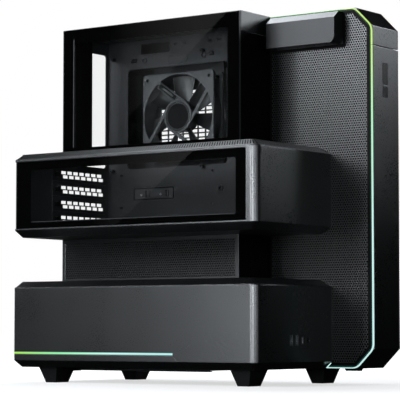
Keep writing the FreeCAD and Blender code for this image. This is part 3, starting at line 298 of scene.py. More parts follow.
slab_light = lit_acrylic("lit_acrylic_slab", 2,
                         [(20, CYAN), (190, CYAN), (330, MINT), (430, LIME), (477, LIME)],
                         guide_band, rim=1.0)
# The seat of the guide is dark acrylic, which takes a little of its light.
seat_light = lit_acrylic("lit_acrylic_seat", 2,
                         [(20, "#0A3232"), (190, "#06241F"), (330, "#0A2812"), (430, "#0C2C02")],
                         guide_band, rim=1.0, shine=0.04)
top_light = lit_acrylic("lit_acrylic_top", 1,
                        [(-223, LIME), (-186, LIME), (-178, "#63B046"), (-69, "#47923A")],
                        guide_band, rim=1.0)
base_light = lit_acrylic("lit_acrylic_base", 1,
                         [(-36, "#B8FBF8"), (60, "#C6FFF6"), (150, "#98FFB2"), (223, "#ACF240")],
                         strip_band, rim=0.03)

finishes = {
    "chassis_steel": chassis_steel,
    "shell_steel": shell_steel,
    "mesh_steel": mesh_steel,
    "tinted_glass": pane_glass,
    "light_guide": slab_light,
    "tab_plastic": tab_plastic,
    "foot_plastic": foot_plastic,
    "fan_plastic": fan_plastic,
    "rotor_plastic": rotor_plastic,
    "bright_steel": bright_steel,
    "dark_steel": dark_steel,
    "circuit_board": board_laminate,
    "button_plastic": button_plastic,
    "filter_nylon": filter_nylon,
}
for row in frame["record"]["subparts"]:
    solid = nodes[row["node"]].data
    solid.materials.clear()
    solid.materials.append(finishes[row["material_slot"]])
nodes["base_light_strip"].data.materials[0] = base_light
for name in ("tower_front_panel", "neck_front_panel", "rear_post", "front_post"):
    nodes[name].data.materials[0] = matt_steel


# Making pieces

def make_piece(name, points, faces, material, body, slot):
    """A mesh piece from points in millimetres and faces, which rides on a body. Its finish slot is given but
    not used.
    """
    mesh = bpy.data.meshes.new(name)
    mesh.from_pydata((np.asarray(points) * MM).tolist(), [], faces)
    mesh.materials.append(material)
    mesh.validate()
    item = bpy.data.objects.new(name, mesh)
    bpy.context.scene.collection.objects.link(item)
    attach(item, body)
    return item


def lay_on_x(level, thickness):
    """Lays sheet coordinates on a plane across x: first coordinate to y, second to z, depth into +x."""
    def lay(u, v, depth):
        return np.stack([level + depth * thickness, u, v], axis=-1)
    return lay


def staggered_cells(u_range, v_range, pitch):
    """Centres of hexagon cells in rows, every second row shifted by half a pitch."""
    rise = pitch * math.sqrt(3) / 2
    columns = np.arange(u_range[0], u_range[1], pitch)
    rows = np.arange(v_range[0], v_range[1], rise)
    u, v = np.meshgrid(columns, rows)
    u = u + (np.arange(len(rows)) % 2)[:, None] * pitch / 2
    return np.stack([u.ravel(), v.ravel()], axis=-1)


def joined(points, digits=5):
    """Points without their doubles, the place of each old point among them, and how often each one came."""
    kept, place, times = np.unique(points.round(digits), axis=0, return_inverse=True, return_counts=True)
    return kept, place.reshape(-1), times


def perforated(cells, pitch, hole, lay):
    """Points and faces of a perforated sheet.

    Each cell is a hexagon with a six sided hole. Its section, from the rim of the cell on the face, in to
    the hole, through the sheet, and out again on the back, is carried round the six corners. A side of a
    cell that no other cell shares gets a wall, and points in the same place are joined.
    """
    angle = np.arange(6) * math.pi / 3 + math.pi / 6
    ring = np.stack([np.cos(angle), np.sin(angle)], axis=-1)
    rim = pitch / math.sqrt(3)
    section = [(rim, 0.0), (hole, 0.0), (hole, 1.0), (rim, 1.0)]
    layers = []
    for reach, depth in section:
        corner = cells[:, None, :] + ring[None] * reach
        layers.append(lay(corner[..., 0], corner[..., 1], np.full(corner.shape[:2], depth)))
    points = np.stack(layers, axis=1)
    index = np.arange(points.size // 3).reshape(len(cells), len(section), 6)
    after = np.roll(index, -1, axis=2)
    quads = np.stack([index[:, :-1], index[:, 1:], after[:, 1:], after[:, :-1]], axis=-1).reshape(-1, 4)
    walls = np.stack([index[:, -1], index[:, 0], after[:, 0], after[:, -1]], axis=-1).reshape(-1, 4)
    sides = cells[:, None, :] + (ring + np.roll(ring, -1, axis=0)) * rim / 2
    place, times = joined(sides.reshape(-1, 2))[1:]
    quads = np.concatenate([quads, walls[times[place] == 1]])
    points, place = joined(points.reshape(-1, 3))[:2]
    return points, place[quads].tolist()


def inset(corners, amount):
    """A closed outline moved inwards, each corner along its mitre. The outline runs anticlockwise."""
    corners = np.asarray(corners, float)
    ahead = np.roll(corners, -1, axis=0) - corners
    ahead /= np.linalg.norm(ahead, axis=1)[:, None]
    inward = np.stack([-ahead[:, 1], ahead[:, 0]], axis=-1)
    before = np.roll(inward, 1, axis=0)
    share = 1 + np.sum(inward * before, axis=1)
    return corners + (inward + before) * (amount / share)[:, None]


def skin(rings, closed):
    """Points and faces of a skin through a row of rings.

    The row comes back on itself if it is closed, and otherwise has a flat cap at each end. The faces are
    turned outwards, by the sign of the volume that they enclose.
    """
    rings = np.asarray(rings, float)
    count, size = rings.shape[:2]
    points = rings.reshape(-1, 3)
    index = np.arange(count * size).reshape(count, size)
    near = index if closed else index[:-1]
    far = np.roll(index, -1, axis=0) if closed else index[1:]
    quads = np.stack([near, np.roll(near, -1, axis=1), np.roll(far, -1, axis=1), far], axis=-1)
    quads = quads.reshape(-1, 4)
    faces = quads.tolist()
    a, b, c, d = (points[quads[:, i]] for i in range(4))
    volume = np.sum(np.cross(a, b) * c) + np.sum(np.cross(a, c) * d)
    if not closed:
        faces += [index[0][::-1].tolist(), index[-1].tolist()]
        for cap in faces[-2:]:
            ring = points[cap]
            volume += np.sum(np.cross(ring[1:-1], ring[2:]) @ ring[0])
    if volume < 0:
        faces = [face[::-1] for face in faces]
    return points, faces


def plate(outline, levels):
    """Points and faces of a flat plate: an outline in y and z, carried from one level of x to another."""
    return skin([np.column_stack([np.full(len(outline), level), outline]) for level in levels], False)


def hem(corners, section, lay):
    """Points and faces of a closed band: a section of (inset, depth) pairs carried round an outline."""
    rings = [inset(corners, amount) for amount, depth in section]
    depths = [np.full(len(corners), depth) for amount, depth in section]
    return skin([lay(ring[:, 0], ring[:, 1], depth) for ring, depth in zip(rings, depths)], True)


def rounded(u, v, radius, steps=5):
    """Outline of a rectangle with round corners, anticlockwise from its lower right corner."""
    turn = np.linspace(0, math.pi / 2, steps)
    loop = []
    for quarter, (cu, cv) in enumerate([(u[1] - radius, v[0] + radius), (u[1] - radius, v[1] - radius),
                                        (u[0] + radius, v[1] - radius), (u[0] + radius, v[0] + radius)]):
        angle = turn + (quarter - 1) * math.pi / 2
        loop.append(np.stack([cu + radius * np.cos(angle), cv + radius * np.sin(angle)], axis=-1))
    return np.concatenate(loop)


def rounded_about(place, reach, rise, radius):
    """Outline of a rectangle with round corners about a place, from its half width and half height."""
    u, v = place
    return rounded((u - reach, u + reach), (v - rise, v + rise), radius)


def within(points, corners):
    """True for each point inside a closed outline, by counting the sides that a level ray crosses."""
    start = np.asarray(corners, float)
    end = np.roll(start, -1, axis=0)
    v = points[:, 1, None]
    crosses = (start[None, :, 1] > v) != (end[None, :, 1] > v)
    rise = np.where(end[:, 1] == start[:, 1], 1, end[:, 1] - start[:, 1])
    meet = start[:, 0] + (v - start[:, 1]) / rise * (end[:, 0] - start[:, 0])
    return (np.sum(crosses & (points[:, 0, None] < meet), axis=1) % 2) == 1


# Perforated walls

# The holes are really about 3.2 mm apart, and are drawn a little coarser so that they show.
MESH_PITCH = 3.5
MESH_HOLE = 1.48
SLAB_HEM = 4.0
RECESS_HEM = MESH_PITCH * 1.5
TAB_GAP = 0.5
# Shares of a wall's depth: the perforated sheet lies in front, with a flat black sheet of painted shade right
# behind it.
SHEET_DEPTH = 0.6
SHADE_SHEET_DEPTHS = (0.72, 0.95)


def fold_section(width, gauge):
    """Section of a folded hem: rounded lips on both faces of the sheet, a little proud of it."""
    lip = 0.15 / gauge
    return [(0, 0.1), (0.3, -lip), (width - 0.4, -lip), (width, 0.1), (width, 0.9),
            (width - 0.4, 1 + lip), (0.3, 1 + lip), (0, 0.9)]


def make_sheet(name, cells, face, gauge):
    """Perforated sheet at the front of a wall, from the centres of its holes."""
    lay = lay_on_x(face, SHEET_DEPTH * gauge)
    make_piece(name, *perforated(cells, MESH_PITCH, MESH_HOLE, lay), mesh_steel, "chassis", "mesh_steel")


def make_shade_sheet(name, outline, face, gauge):
    """Flat black plate behind a perforated sheet: painted shade, seen through its holes."""
    levels = [face + share * gauge for share in SHADE_SHEET_DEPTHS]
    make_piece(name, *plate(outline, levels), shade_sheet_black, "chassis", "mesh_steel")


def make_slab_mesh():
    """Perforated wall of the slab in two halves, with a hem round its chamfered outline and the tab's notch.

    The outline is inset from the slab's, which takes 2 less root 2 of the inset off each chamfer's leg.
    """
    face, front, low = mesh_low
    back, rear, high = mesh_high
    gauge = back - face
    leg = SLAB_CHAMFER - (front - guide_low[1]) * (2 - math.sqrt(2))
    notch_front, notch_rear = tab_low[1] - TAB_GAP, tab_high[1] + TAB_GAP
    notch_low = tab_low[2] - TAB_GAP
    outline = [
        (rear, low), (rear, high),
        (notch_rear, high), (notch_rear, notch_low), (notch_front, notch_low), (notch_front, high),
        (front + leg, high), (front, high - leg), (front, low + leg), (front + leg, low),
    ]
    cells = staggered_cells((front, rear), (low, high), MESH_PITCH)
    cells = cells[within(cells, inset(outline, SLAB_HEM - MESH_PITCH / 2))]
    upper = cells[:, 1] >= (low + high) / 2
    make_sheet("slab_mesh_upper", cells[upper], face, gauge)
    make_sheet("slab_mesh_lower", cells[~upper], face, gauge)
    # The hem is real, but its near black, sheenless coat is partly painted shade: the shadow between the mesh
    # and the light guide.
    edge = make_piece("slab_mesh_hem", *hem(outline, fold_section(SLAB_HEM, gauge), lay_on_x(face, gauge)),
                      matt_steel, "chassis", "mesh_steel")
    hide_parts("slab_mesh_panel")
    make_shade_sheet("slab_mesh_shade_sheet", inset(outline, SLAB_HEM - 0.5), face, gauge)


def make_recess_mesh():
    """Perforated wall between the two boxes, with a hem round it."""
    face, front, low = recess_low
    back, rear, high = recess_high
    gauge = back - face
    outline = [(front, low), (rear, low), (rear, high), (front, high)]
    field = inset(outline, MESH_PITCH)
    cells = staggered_cells((front, rear), (low, high), MESH_PITCH)
    make_sheet("recess_mesh_sheet", cells[within(cells, field)], face, gauge)
    edge = make_piece("recess_mesh_hem",
                      *hem(outline, fold_section(RECESS_HEM, gauge), lay_on_x(face, gauge)),
                      mesh_steel, "chassis", "mesh_steel")
    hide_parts("recess_mesh_panel")
    make_shade_sheet("recess_mesh_shade_sheet", field, face, gauge)


make_slab_mesh()
make_recess_mesh()


# Upper folds of the boxes

# The slots are really about 2.9 mm apart, and are drawn coarser so that they show.
BAR_PITCH = 3.8
BAR_WIDTH = 2.2
BAR_LEVELS = np.array([0.03, 0.5])
LOW_LIP = 3.8
HIGH_LIP = 1.8
FOLD_STATIONS = 240


def fold_place(box, along, across):
    """Point of the upper fold of a box, given by its low and high corners.

    The first measure runs along the fold from the rear, round the front corner and on to the slab. The
    second runs across it, from the face of the box up to its top. The point lies on the straight line
    between the two edges, and on the corner both edges are quarter circles.
    """
    left, front = box[0][:2]
    end, rear, top = box[1]
    share = across / FOLD_LENGTH
    setback = FOLD_RUN * share
    radius = FACE_RADIUS + (FOLD_RADIUS - FACE_RADIUS) * share
    middle = (FOLD_RUN + FACE_RADIUS + FOLD_RADIUS) / 2
    side = rear - front - middle
    bend = (FACE_RADIUS + FOLD_RADIUS) / 2 * math.pi / 2
    run = end - left - middle
    centre_x = left + setback + radius
    centre_y = front + setback + radius
    on_side = np.clip(along / side, 0, 1)
    angle = np.clip((along - side) / bend, 0, 1) * math.pi / 2
    on_front = np.clip((along - side - bend) / run, 0, 1)
    x = centre_x - radius * np.cos(angle) + (end - centre_x) * on_front
    y = rear + (centre_y - rear) * on_side - radius * np.sin(angle)
    z = top - FOLD_RISE * (1 - share)
    return np.stack(np.broadcast_arrays(x, y, z), axis=-1)


def fold_lay(box, along, across, stand):
    """Point that stands off the fold by a height along its normal, from small steps both ways."""
    step = 0.05
    ahead = fold_place(box, along + step, across) - fold_place(box, along - step, across)
    up = fold_place(box, along, across + step) - fold_place(box, along, across - step)
    normal = np.cross(ahead, up)
    normal /= np.linalg.norm(normal, axis=-1)[..., None]
    return fold_place(box, along, across) + normal * np.asarray(stand)[..., None]


def fold_total(box):
    """Length of the upper fold of a box, round its front corner."""
    low, high = box
    straight = (high[1] - low[1]) + (high[0] - low[0]) - FOLD_RUN - FACE_RADIUS - FOLD_RADIUS
    return straight + (FACE_RADIUS + FOLD_RADIUS) / 2 * math.pi / 2


def fold_band(name, box, section, material, slot):
    """A section of (across, height) pairs carried along the upper fold of a box."""
    stations = np.linspace(0, fold_total(box), FOLD_STATIONS)
    across, stand = np.array(section).T
    stand = np.broadcast_to(stand, (len(stations), len(stand)))
    rings = fold_lay(box, stations[:, None], across[None, :], stand)
    make_piece(name, *skin(rings, False), material, "chassis", slot)


def make_bay_fold():
    """Slotted sheet on the upper fold of the bay: bars across it over a flat black sheet of painted shade,
    and a lip on each edge.

    Each bar is a box whose eight corners are laid on the fold.
    """
    box = (bay_low, bay_high)
    top = FOLD_LENGTH
    along = np.arange(BAR_PITCH, fold_total(box) - BAR_PITCH, BAR_PITCH)
    foot = ((-1, 0), (1, 0), (1, 1), (-1, 1))
    side, far, up = np.array([(side, far, up) for up in (0, 1) for side, far in foot]).T
    reach = np.array([LOW_LIP - 0.3, top - HIGH_LIP + 0.3])
    points = fold_lay(box, along[:, None] + side * BAR_WIDTH / 2, reach[far][None], BAR_LEVELS[up])
    walls = np.array([(0, 3, 2, 1), (4, 5, 6, 7), (0, 1, 5, 4), (1, 2, 6, 5), (2, 3, 7, 6), (3, 0, 4, 7)])
    faces = (np.arange(len(along))[:, None, None] * 8 + walls[None]).reshape(-1, 4).tolist()
    make_piece("bay_fold_bars", points.reshape(-1, 3), faces, mesh_steel, "chassis", "mesh_steel")
    shade_section = [(0.6, 0.02), (top - 0.6, 0.02), (top - 0.6, 0.08), (0.6, 0.08)]
    low_lip = [(0.05, 0.02), (LOW_LIP, 0.02), (LOW_LIP, 0.45), (LOW_LIP - 0.3, 0.6), (0.8, 0.6), (0.2, 0.35)]
    high_lip = [(top - HIGH_LIP, 0.02), (top, 0.02), (top - 0.2, 0.35), (top - 0.6, 0.6),
                (top - HIGH_LIP + 0.3, 0.6), (top - HIGH_LIP, 0.45)]
    fold_band("bay_fold_shade_sheet", box, shade_section, shade_sheet_black, "mesh_steel")
    fold_band("bay_fold_hem_low", box, low_lip, shell_steel, "mesh_steel")
    fold_band("bay_fold_hem_high", box, high_lip, mesh_steel, "mesh_steel")


def make_base_bead():
    """Rounded bead along the lower edge of the base's upper fold."""
    bead = [(0.05, 0.02), (2.0, 0.02), (1.9, 0.4), (1.4, 0.6), (0.7, 0.6), (0.25, 0.4)]
    fold_band("base_fold_bead", (base_low, base_high), bead, shell_steel, "shell_steel")


make_bay_fold()
make_base_bead()


# Light guide round the slab

GUIDE_SETBACK = 0.4
GUIDE_WIDTH = 1.5
GUIDE_BEND = 7
SEAT_EDGE = 3.4
SEAT_DEPTH = 0.5


def eased(path, reach, steps=9):
    """A path in a plane with eased corners: each inner corner becomes a parabola that touches both sides."""
    path = np.asarray(path, float)
    ahead = np.diff(path, axis=0)
    ahead /= np.linalg.norm(ahead, axis=1)[:, None]
    corner = path[1:-1]
    start = corner - ahead[:-1] * reach
    end = corner + ahead[1:] * reach
    share = np.linspace(0, 1, steps)[None, :, None]
    bend = (1 - share) ** 2 * start[:, None] + share ** 2 * end[:, None]
    bend = bend + 2 * share * (1 - share) * corner[:, None]
    return np.concatenate([path[:1], bend.reshape(-1, 2), path[-1:]])


def rail(path, section):
    """Points and faces of a rail: a section of (inset, x) pairs carried along a path in the yz plane.

    At each place the inset is measured to the left of the path, along the mean normal of its two sides.
    """
    ahead = np.gradient(path, axis=0)
    ahead /= np.linalg.norm(ahead, axis=1)[:, None]
    left = np.stack([-ahead[:, 1], ahead[:, 0]], axis=-1)
    across, level = np.array(section).T
    flat = path[:, None, :] + left[:, None, :] * across[None, :, None]
    return skin(np.concatenate([np.broadcast_to(level, flat.shape[:2])[..., None], flat], axis=-1), False)


def make_light_rails():
    """Bevelled light guide along the slab's front edge, in a dark seat, with its end on the base's fold.

    The lower part belongs to the slab and the upper one to the cover. Both follow the chamfered outline.
    """
    low, top, seam = guide_low[2], cover_high[2], cover_low[2]
    face, back = guide_low[0], guide_high[0] - 0.05
    flat, shoulder, floor = face + 0.05, face + 0.45, face + SEAT_DEPTH
    glow = [(GUIDE_SETBACK, back), (GUIDE_SETBACK, shoulder), (GUIDE_SETBACK + 0.35, flat),
            (GUIDE_WIDTH - 0.45, flat), (GUIDE_WIDTH, shoulder), (GUIDE_WIDTH, back)]
    seat = [(GUIDE_WIDTH, back), (GUIDE_WIDTH, floor), (SEAT_EDGE, floor), (SEAT_EDGE, back)]
    chamfer = slab_front + SLAB_CHAMFER
    fold_middle = base_low[1] + FOLD_RUN / 2
    lower = [(slab_front, seam - 0.5), (slab_front, low + SLAB_CHAMFER), (chamfer, low),
             (fold_middle + 0.5, low)]
    upper = [(core_front, top), (chamfer, top), (slab_front, top - SLAB_CHAMFER), (slab_front, seam)]
    for name, path, light, node, body in (
            ("slab_light_rail", lower, slab_light, "slab_light_guide", "chassis"),
            ("top_light_rail", upper, top_light, "top_light_guide", "cover")):
        smooth = eased(path, GUIDE_BEND)
        tube = make_piece(name, *rail(smooth, glow), light, body, "light_guide")
        make_piece(name + "_seat", *rail(smooth, seat), seat_light, body, "tab_plastic")
        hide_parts(node)
    tail = np.array([(fold_middle - 0.5, low + 1), (base_low[1] + 1, low + FOLD_RISE - 2)])
    sliver = [(-0.7, face - 0.02), (0.7, face - 0.02), (0.5, face - 0.5), (-0.5, face - 0.5)]
    make_piece("slab_light_tail", *rail(tail, sliver), slab_light, "chassis", "light_guide")


make_light_rails()


# Printed borders of the panes

# Depths inside the glass, from a pane's inner face: the two faces of the border, and those of the strip of
# painted highlight.
FRIT_DEPTHS = (0.12, 0.04)
HIGHLIGHT_STRIP_DEPTHS = (0.13, 0.3)
# Clear windows, and the strip of painted highlight on the tower's pane, in y and z.
TOWER_WINDOW = ((tower_pane_low[1] + 19, tower_pane_high[1] - 19),
                (tower_pane_low[2] + 14, tower_pane_high[2] - 19))
BAY_WINDOW = ((-129.6, 197.6), (209, 278))
WINDOW_RADIUS = 3
TOWER_HIGHLIGHT_STRIP = ((205.4, 206.9), (315, 463))


def make_frit(name, pane, window, body):
    """Black border fired on to a pane's inner face, round its clear window. It lies just inside the glass."""
    low, high = pane
    outer = rounded((low[1] + 0.1, high[1] - 0.1), (low[2] + 0.1, high[2] - 0.1), 0.5)
    inner = rounded(*window, WINDOW_RADIUS)
    front, back = (high[0] - depth for depth in FRIT_DEPTHS)
    rings = [np.column_stack([np.full(len(loop), level), loop])
             for loop, level in ((outer, front), (inner, front), (inner, back), (outer, back))]
    make_piece(name, *skin(rings, True), frit, body, "tinted_glass")


def make_tower_highlight_strip():
    """Narrow grey strip along the rear border of the tower's pane: a painted highlight of the rear post's
    edge.
    """
    levels = [tower_pane_high[0] - depth for depth in HIGHLIGHT_STRIP_DEPTHS]
    make_piece("tower_pane_highlight_strip", *plate(rounded(*TOWER_HIGHLIGHT_STRIP, 0.7), levels),
               fan_plastic, "tower_window", "tinted_glass")


make_frit("tower_frit", (tower_pane_low, tower_pane_high), TOWER_WINDOW, "tower_window")
make_tower_highlight_strip()
make_frit("bay_frit", (bay_pane_low, bay_pane_high), BAY_WINDOW, "bay_window")


# Fan

fan_centre = (fan_low + fan_high)[1:] / 2
FAN_HUB = 23.5
STRUT_ANGLE = math.radians(35)


def turned(profile, centre, level, steps=64):
    """Rings of a solid turned about an axis along x: each (radius, depth) pair gives a circle."""
    angle = np.linspace(0, 2 * math.pi, steps, endpoint=False)
    circle = np.stack([np.cos(angle), np.sin(angle)], axis=-1)
    return [np.column_stack([np.full(steps, level + depth), centre + radius * circle])
            for radius, depth in profile]


def along_strut(outline):
    """Places of the fan's face from (along, across) pairs, measured on the strut that carries the cable."""
    ahead = np.array([math.cos(STRUT_ANGLE), math.sin(STRUT_ANGLE)])
    aside = np.array([-ahead[1], ahead[0]])
    return fan_centre + outline[:, :1] * ahead + outline[:, 1:] * aside


def make_fan_hub():
    """Turned rings of the fan's hub, a thin black film between them that paints the shade of the gap, and a
    blank label in the middle.
    """
    ring = [(23.4, 0.0), (23.2, -0.7), (22.6, -1.0), (20.6, -1.0), (20.2, -0.6), (20.2, 0.0)]
    line = [(19.0, 0.0), (18.8, -0.6), (18.0, -0.6), (17.8, 0.0)]
    gap = [(20.0, -0.02), (20.0, -0.2), (19.1, -0.2), (19.1, -0.02)]
    label = [(17.6, -0.02), (17.6, -0.25), (17.2, -0.3)]
    for name, profile, closed, material, slot in (
            ("fan_hub_ring", ring, True, fan_plastic, "fan_plastic"),
            ("fan_hub_line", line, True, fan_plastic, "fan_plastic"),
            # The gap is a thin black film just below the face: painted shade.
            ("fan_hub_gap_shade", gap, True, label_film, "rotor_plastic"),
            ("fan_hub_label", label, False, label_film, "rotor_plastic")):
        rings = turned(profile, fan_centre, fan_low[0])
        make_piece(name, *skin(rings, closed), material, "chassis", slot)


def make_fan_cable():
    """Trough along one strut of the fan for its cable: walls round a dark bed, and a clip over it."""
    face = fan_low[0]
    trough = along_strut(rounded((15, 52), (FAN_HUB - 10, FAN_HUB - 0.2), 1.2))
    walls = [(0, 0), (0, 1), (0.5, 1.3), (1.3, 1.3), (1.7, 1), (1.7, 0)]
    make_piece("fan_cable_trough", *hem(trough, walls, lay_on_x(face + 1, -1.5)),
               fan_plastic, "chassis", "fan_plastic")
    bed = along_strut(rounded((16, 51), (FAN_HUB - 9, FAN_HUB - 1.2), 0.8))
    make_piece("fan_cable_bed", *plate(bed, (face + 1, face - 0.2)), label_film, "chassis", "fan_plastic")
    clip = along_strut(rounded((23, 44), (FAN_HUB - 6.6, FAN_HUB - 4.0), 1.2))
    make_piece("fan_cable_clip", *plate(clip, (face, face - 0.9)), fan_plastic, "chassis", "fan_plastic")


make_fan_hub()
make_fan_cable()


# Tray and cover

# Places on the tray in y and z.
PILL = ((85, 119), (433, 445))
GROMMETS = ((159, 441), (58, 441))
TIE_LOOPS = ((177, 443.5), (45, 443.3))
BOSS = (29.7, 257.3)
CLIP_WINDOW = ((108, 177), (247.5, 264))
LATCH_PINS = ((161.3, 254), (128.2, 254))
RIB_SETBACKS = (4.0, 10.0)
RIB_LEVEL = 255.25


def raised_rim(name, outline, width, height, material=chassis_steel):
    """A low rounded rim on the tray's face: a section carried round an outline in y and z."""
    section = [(0, 0), (0, 0.7), (0.2, 1), (width - 0.2, 1), (width, 0.7), (width, 0)]
    make_piece(name, *hem(outline, section, lay_on_x(tray_face, -height)), material,
               "chassis", "chassis_steel")


def make_tray_rims():
    """Rims on the tray's face: a pressed pill, two grommets, two tie loops, a boss and the clip window."""
    raised_rim("tray_pill", rounded(*PILL, 5.8), 1.1, 0.6)
    for number, place in enumerate(GROMMETS, 1):
        raised_rim(f"tray_grommet_{number}", rounded_about(place, 4.2, 4.2, 4.1), 1.4, 1.2, fan_plastic)
    for number, place in enumerate(TIE_LOOPS, 1):
        raised_rim(f"tray_tie_loop_{number}", rounded_about(place, 3.4, 2.4, 2.3), 1.2, 1.4)
    raised_rim("tray_boss_rim", rounded_about(BOSS, 4.5, 4.5, 4.4), 1.2, 0.8, fan_plastic)
    # The clip window's rim is near black and sheenless: partly painted shade, which stands for the shadow in
    # the window's recess.
    raised_rim("tray_clip_window", rounded(*CLIP_WINDOW, 1.5), 1.3, 0.9, matt_steel)


def make_tray_latches():
    """Two latches in the clip window, each a turned pin and two ribs beside it."""
    pin = [(1.5, 0.0), (1.5, -0.8), (1.0, -1.2)]
    for number, place in enumerate(LATCH_PINS, 1):
        rings = turned(pin, place, clip_face, 16)
        make_piece(f"tray_latch_pin_{number}", *skin(rings, False), bright_steel, "chassis", "bright_steel")
        for side, setback in enumerate(RIB_SETBACKS, 1):
            rib = rounded_about((place[0] - setback, RIB_LEVEL), 0.8, 4.75, 0.6)
            make_piece(f"tray_latch_{number}_rib_{side}", *plate(rib, (tray_face + 1, tray_face - 1)),
                       fan_plastic, "chassis", "tab_plastic")


def make_cover_seal():
    """Foam strip inside the cover's right flank, which closes the seam above the side panel."""
    inside = cover_high[0] - 2.05
    strip = rounded((core_front + 8, cover_high[1] - 8), (cover_low[2] - 1.4, cover_low[2] + 6), 0.6)
    make_piece("cover_seal", *plate(strip, (inside, inside - 0.8)), seal_foam, "cover", "foot_plastic")


make_tray_rims()
make_tray_latches()
make_cover_seal()


# Studio

FLOOR_SIZE = 40
ROOM_LIGHT = 0.003
CARD_PLACE = -1.5
FOCAL_LENGTH = 173.17
SENSOR_WIDTH = 36
CAMERA_PLACE = (-2.0219, -1.4599, 0.070)
CAMERA_AHEAD = (0.8076, 0.5859, 0.0668)


def seen_directly(tree):
    """One for the camera's own rays, straight or through glass, and nought after any other bounce."""
    path = add(tree, "LightPath")
    direct = add(tree, "Math", {0: path.outputs["Is Camera Ray"], 1: path.outputs["Is Transmission Ray"]},
                 operation="MAXIMUM")
    bounces = add(tree, "Math", {0: path.outputs["Diffuse Depth"], 1: path.outputs["Glossy Depth"]},
                  operation="ADD")
    clean = add(tree, "Math", {0: bounces.outputs[0], 1: 0.5}, operation="LESS_THAN")
    return add(tree, "Math", {0: direct.outputs[0], 1: clean.outputs[0]}, operation="MULTIPLY").outputs[0]


def make_floor():
    """Wide floor that keeps the object's shadow, and turns white to the camera away from the object."""
    half = FLOOR_SIZE / 2
    corners = [(-half, -half, 0), (half, -half, 0), (half, half, 0), (-half, half, 0)]
    mesh = bpy.data.meshes.new("floor")
    mesh.from_pydata(corners, [], [(0, 1, 2, 3)])
    material, tree, output = new_material("white_floor")
    matt = add(tree, "BsdfDiffuse", {"Color": linear("#8C8C8C")})
    place = add(tree, "TexCoord").outputs["Object"]
    away = add(tree, "VectorMath", {0: place}, operation="LENGTH")
    white = add(tree, "MapRange", {"Value": away.outputs["Value"], "From Min": 0.3, "From Max": 0.9,
                                   "To Min": 0.62, "To Max": 1.0})
    level = add(tree, "Math", {0: seen_directly(tree), 1: white.outputs[0]}, operation="MULTIPLY")
    lift = add(tree, "Emission", {"Color": linear("#FFFFFF"), "Strength": level.outputs[0]})
    both = add(tree, "AddShader", {0: matt.outputs[0], 1: lift.outputs[0]})
    tree.links.new(both.outputs[0], output.inputs["Surface"])
    mesh.materials.append(material)
    floor = bpy.data.objects.new("floor", mesh)
    floor.visible_glossy = False
    bpy.context.scene.collection.objects.link(floor)


def make_world():
    """White behind the object, and a dark room for its reflections."""
    world = bpy.data.worlds.new("studio")
    bpy.context.scene.world = world
    world.use_nodes = True
    tree = world.node_tree
    tree.nodes.clear()
    level = add(tree, "Math", {0: seen_directly(tree), 1: ROOM_LIGHT}, operation="MAXIMUM")
    light = add(tree, "Background", {"Color": linear("#FFFFFF"), "Strength": level.outputs[0]})
    output = add(tree, "OutputWorld")
    tree.links.new(light.outputs[0], output.inputs["Surface"])


def soft_box(name, place, target, size, brightness, spread=180):
    """A soft lamp at a place, turned to a target, which the camera doesn't see. Its spread is in degrees."""
    lamp = bpy.data.lights.new(name, "AREA")
    lamp.shape = "RECTANGLE"
    lamp.size, lamp.size_y = size
    lamp.energy = brightness * size[0] * size[1] * math.pi
    lamp.spread = math.radians(spread)
    lamp.color = linear("#F2F8FF")[:3]
    item = bpy.data.objects.new(name, lamp)
    item.location = place
    item.rotation_euler = (Vector(target) - Vector(place)).to_track_quat("-Z", "Y").to_euler()
    item.visible_camera = False
    item.visible_transmission = False
    bpy.context.scene.collection.objects.link(item)


def glow_card(name, outline, level, fade):
    """A pale sheet across x that only reflections show: even along z, fading along y between two places."""
    mesh = bpy.data.meshes.new(name)
    mesh.from_pydata([(CARD_PLACE, y, z) for y, z in outline], [], [tuple(range(len(outline)))])
    material, tree, output = new_material(name)
    along = add(tree, "SeparateXYZ", {0: add(tree, "TexCoord").outputs["Object"]})
    strength = add(tree, "MapRange", {"Value": along.outputs[1], "From Min": fade[0], "From Max": fade[1],
                                      "To Min": level, "To Max": 0.0})
    light = add(tree, "Emission", {"Color": linear("#FFFFFF"), "Strength": strength.outputs[0]})
    tree.links.new(light.outputs[0], output.inputs["Surface"])
    mesh.materials.append(material)
    card = bpy.data.objects.new(name, mesh)
    for kind in ("camera", "diffuse", "transmission", "volume_scatter", "shadow"):
        setattr(card, "visible_" + kind, False)
    bpy.context.scene.collection.objects.link(card)


def make_camera():
    """Camera of the photograph: its place, its direction and its focal length."""
    data = bpy.data.cameras.new("camera")
    data.lens = FOCAL_LENGTH
    data.sensor_width = SENSOR_WIDTH
    camera = bpy.data.objects.new("camera", data)
    camera.location = CAMERA_PLACE
    camera.rotation_euler = Vector(CAMERA_AHEAD).to_track_quat("-Z", "Y").to_euler()
    bpy.context.scene.collection.objects.link(camera)
    bpy.context.scene.camera = camera


make_floor()
make_world()
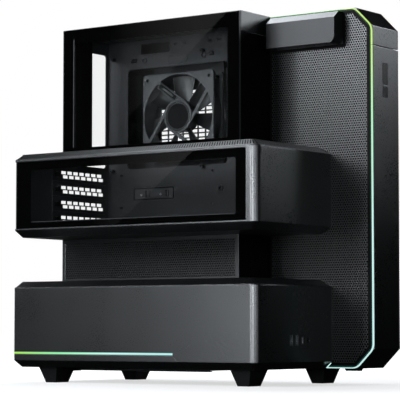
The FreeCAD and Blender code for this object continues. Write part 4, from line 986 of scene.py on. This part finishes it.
# Left walls of the boxes, and what shows through the panes.
soft_box("side_light", (-1.5, 0.29, 0.22), (0, 0.29, 0.22), (0.14, 0.5), 29)
soft_box("low_light", (-1.5, 0.66, 0.05), (0, 0.66, 0.05), (0.2, 0.2), 7)
# Rounded front corners of the boxes, from the left round to the front.
soft_box("corner_light", (-1.62, -0.42, 0.27), (-0.1, -0.16, 0.25), (0.2, 0.5), 43)
soft_box("edge_light", (-1.25, -1.12, 0.27), (-0.1, -0.16, 0.25), (0.2, 0.5), 16)
soft_box("turn_light", (-0.73, -1.53, 0.3), (-0.1, -0.15, 0.3), (0.3, 0.8), 3)
# Meshes, upper folds and pull tab.
soft_box("mesh_light", (-1.5, 0.53, 0.95), (0.05, 0.53, 0.95), (0.8, 0.8), 24)
soft_box("line_light", (-0.95, 0.95, 0.9), (-0.1, -0.05, 0.2), (0.35, 0.35), 9)
soft_box("tab_light", (0.22, 0.34, 1.09), (0.04, -0.13, 0.46), (0.45, 0.45), 15)
# Front of the slab and of the boxes.
soft_box("slab_light", (1.3, -1.1, 0.95), (0.1, -0.22, 0.49), (0.5, 0.5), 0.23, 17)
soft_box("fold_light", (1.3, -0.76, 1.14), (0.1, -0.22, 0.45), (0.25, 0.25), 14)
soft_box("front_light", (0.3, -0.47, 0.36), (-0.1, -0.16, 0.27), (0.2, 0.2), 0.15)
# Sides that the photograph doesn't show.
soft_box("back_light", (1.6, 1.6, 0.6), (0.1, 0.1, 0.25), (1.2, 0.9), 6)
soft_box("rear_light", (0.0, 1.5, 0.36), (0.02, 0.2, 0.3), (0.8, 0.5), 3, 110)
soft_box("right_light", (1.1, 0.3, 0.34), (0.1, 0.2, 0.3), (0.8, 0.5), 9, 110)
# Slanting reflections in the two panes.
glow_card("tower_card", [(1.003, 0.767), (1.154, 0.649), (1.393, 0.462), (1.5, 0.462), (1.5, 0.9),
                         (0.833, 0.9)], 0.3, (1.08, 1.32))
glow_card("bay_card", [(0.933, 0.455), (1.175, 0.28), (1.4, 0.28), (1.4, 0.455)], 0.3, (1.0, 1.22))
make_camera()
bpy.context.scene.view_settings.view_transform = "Standard"
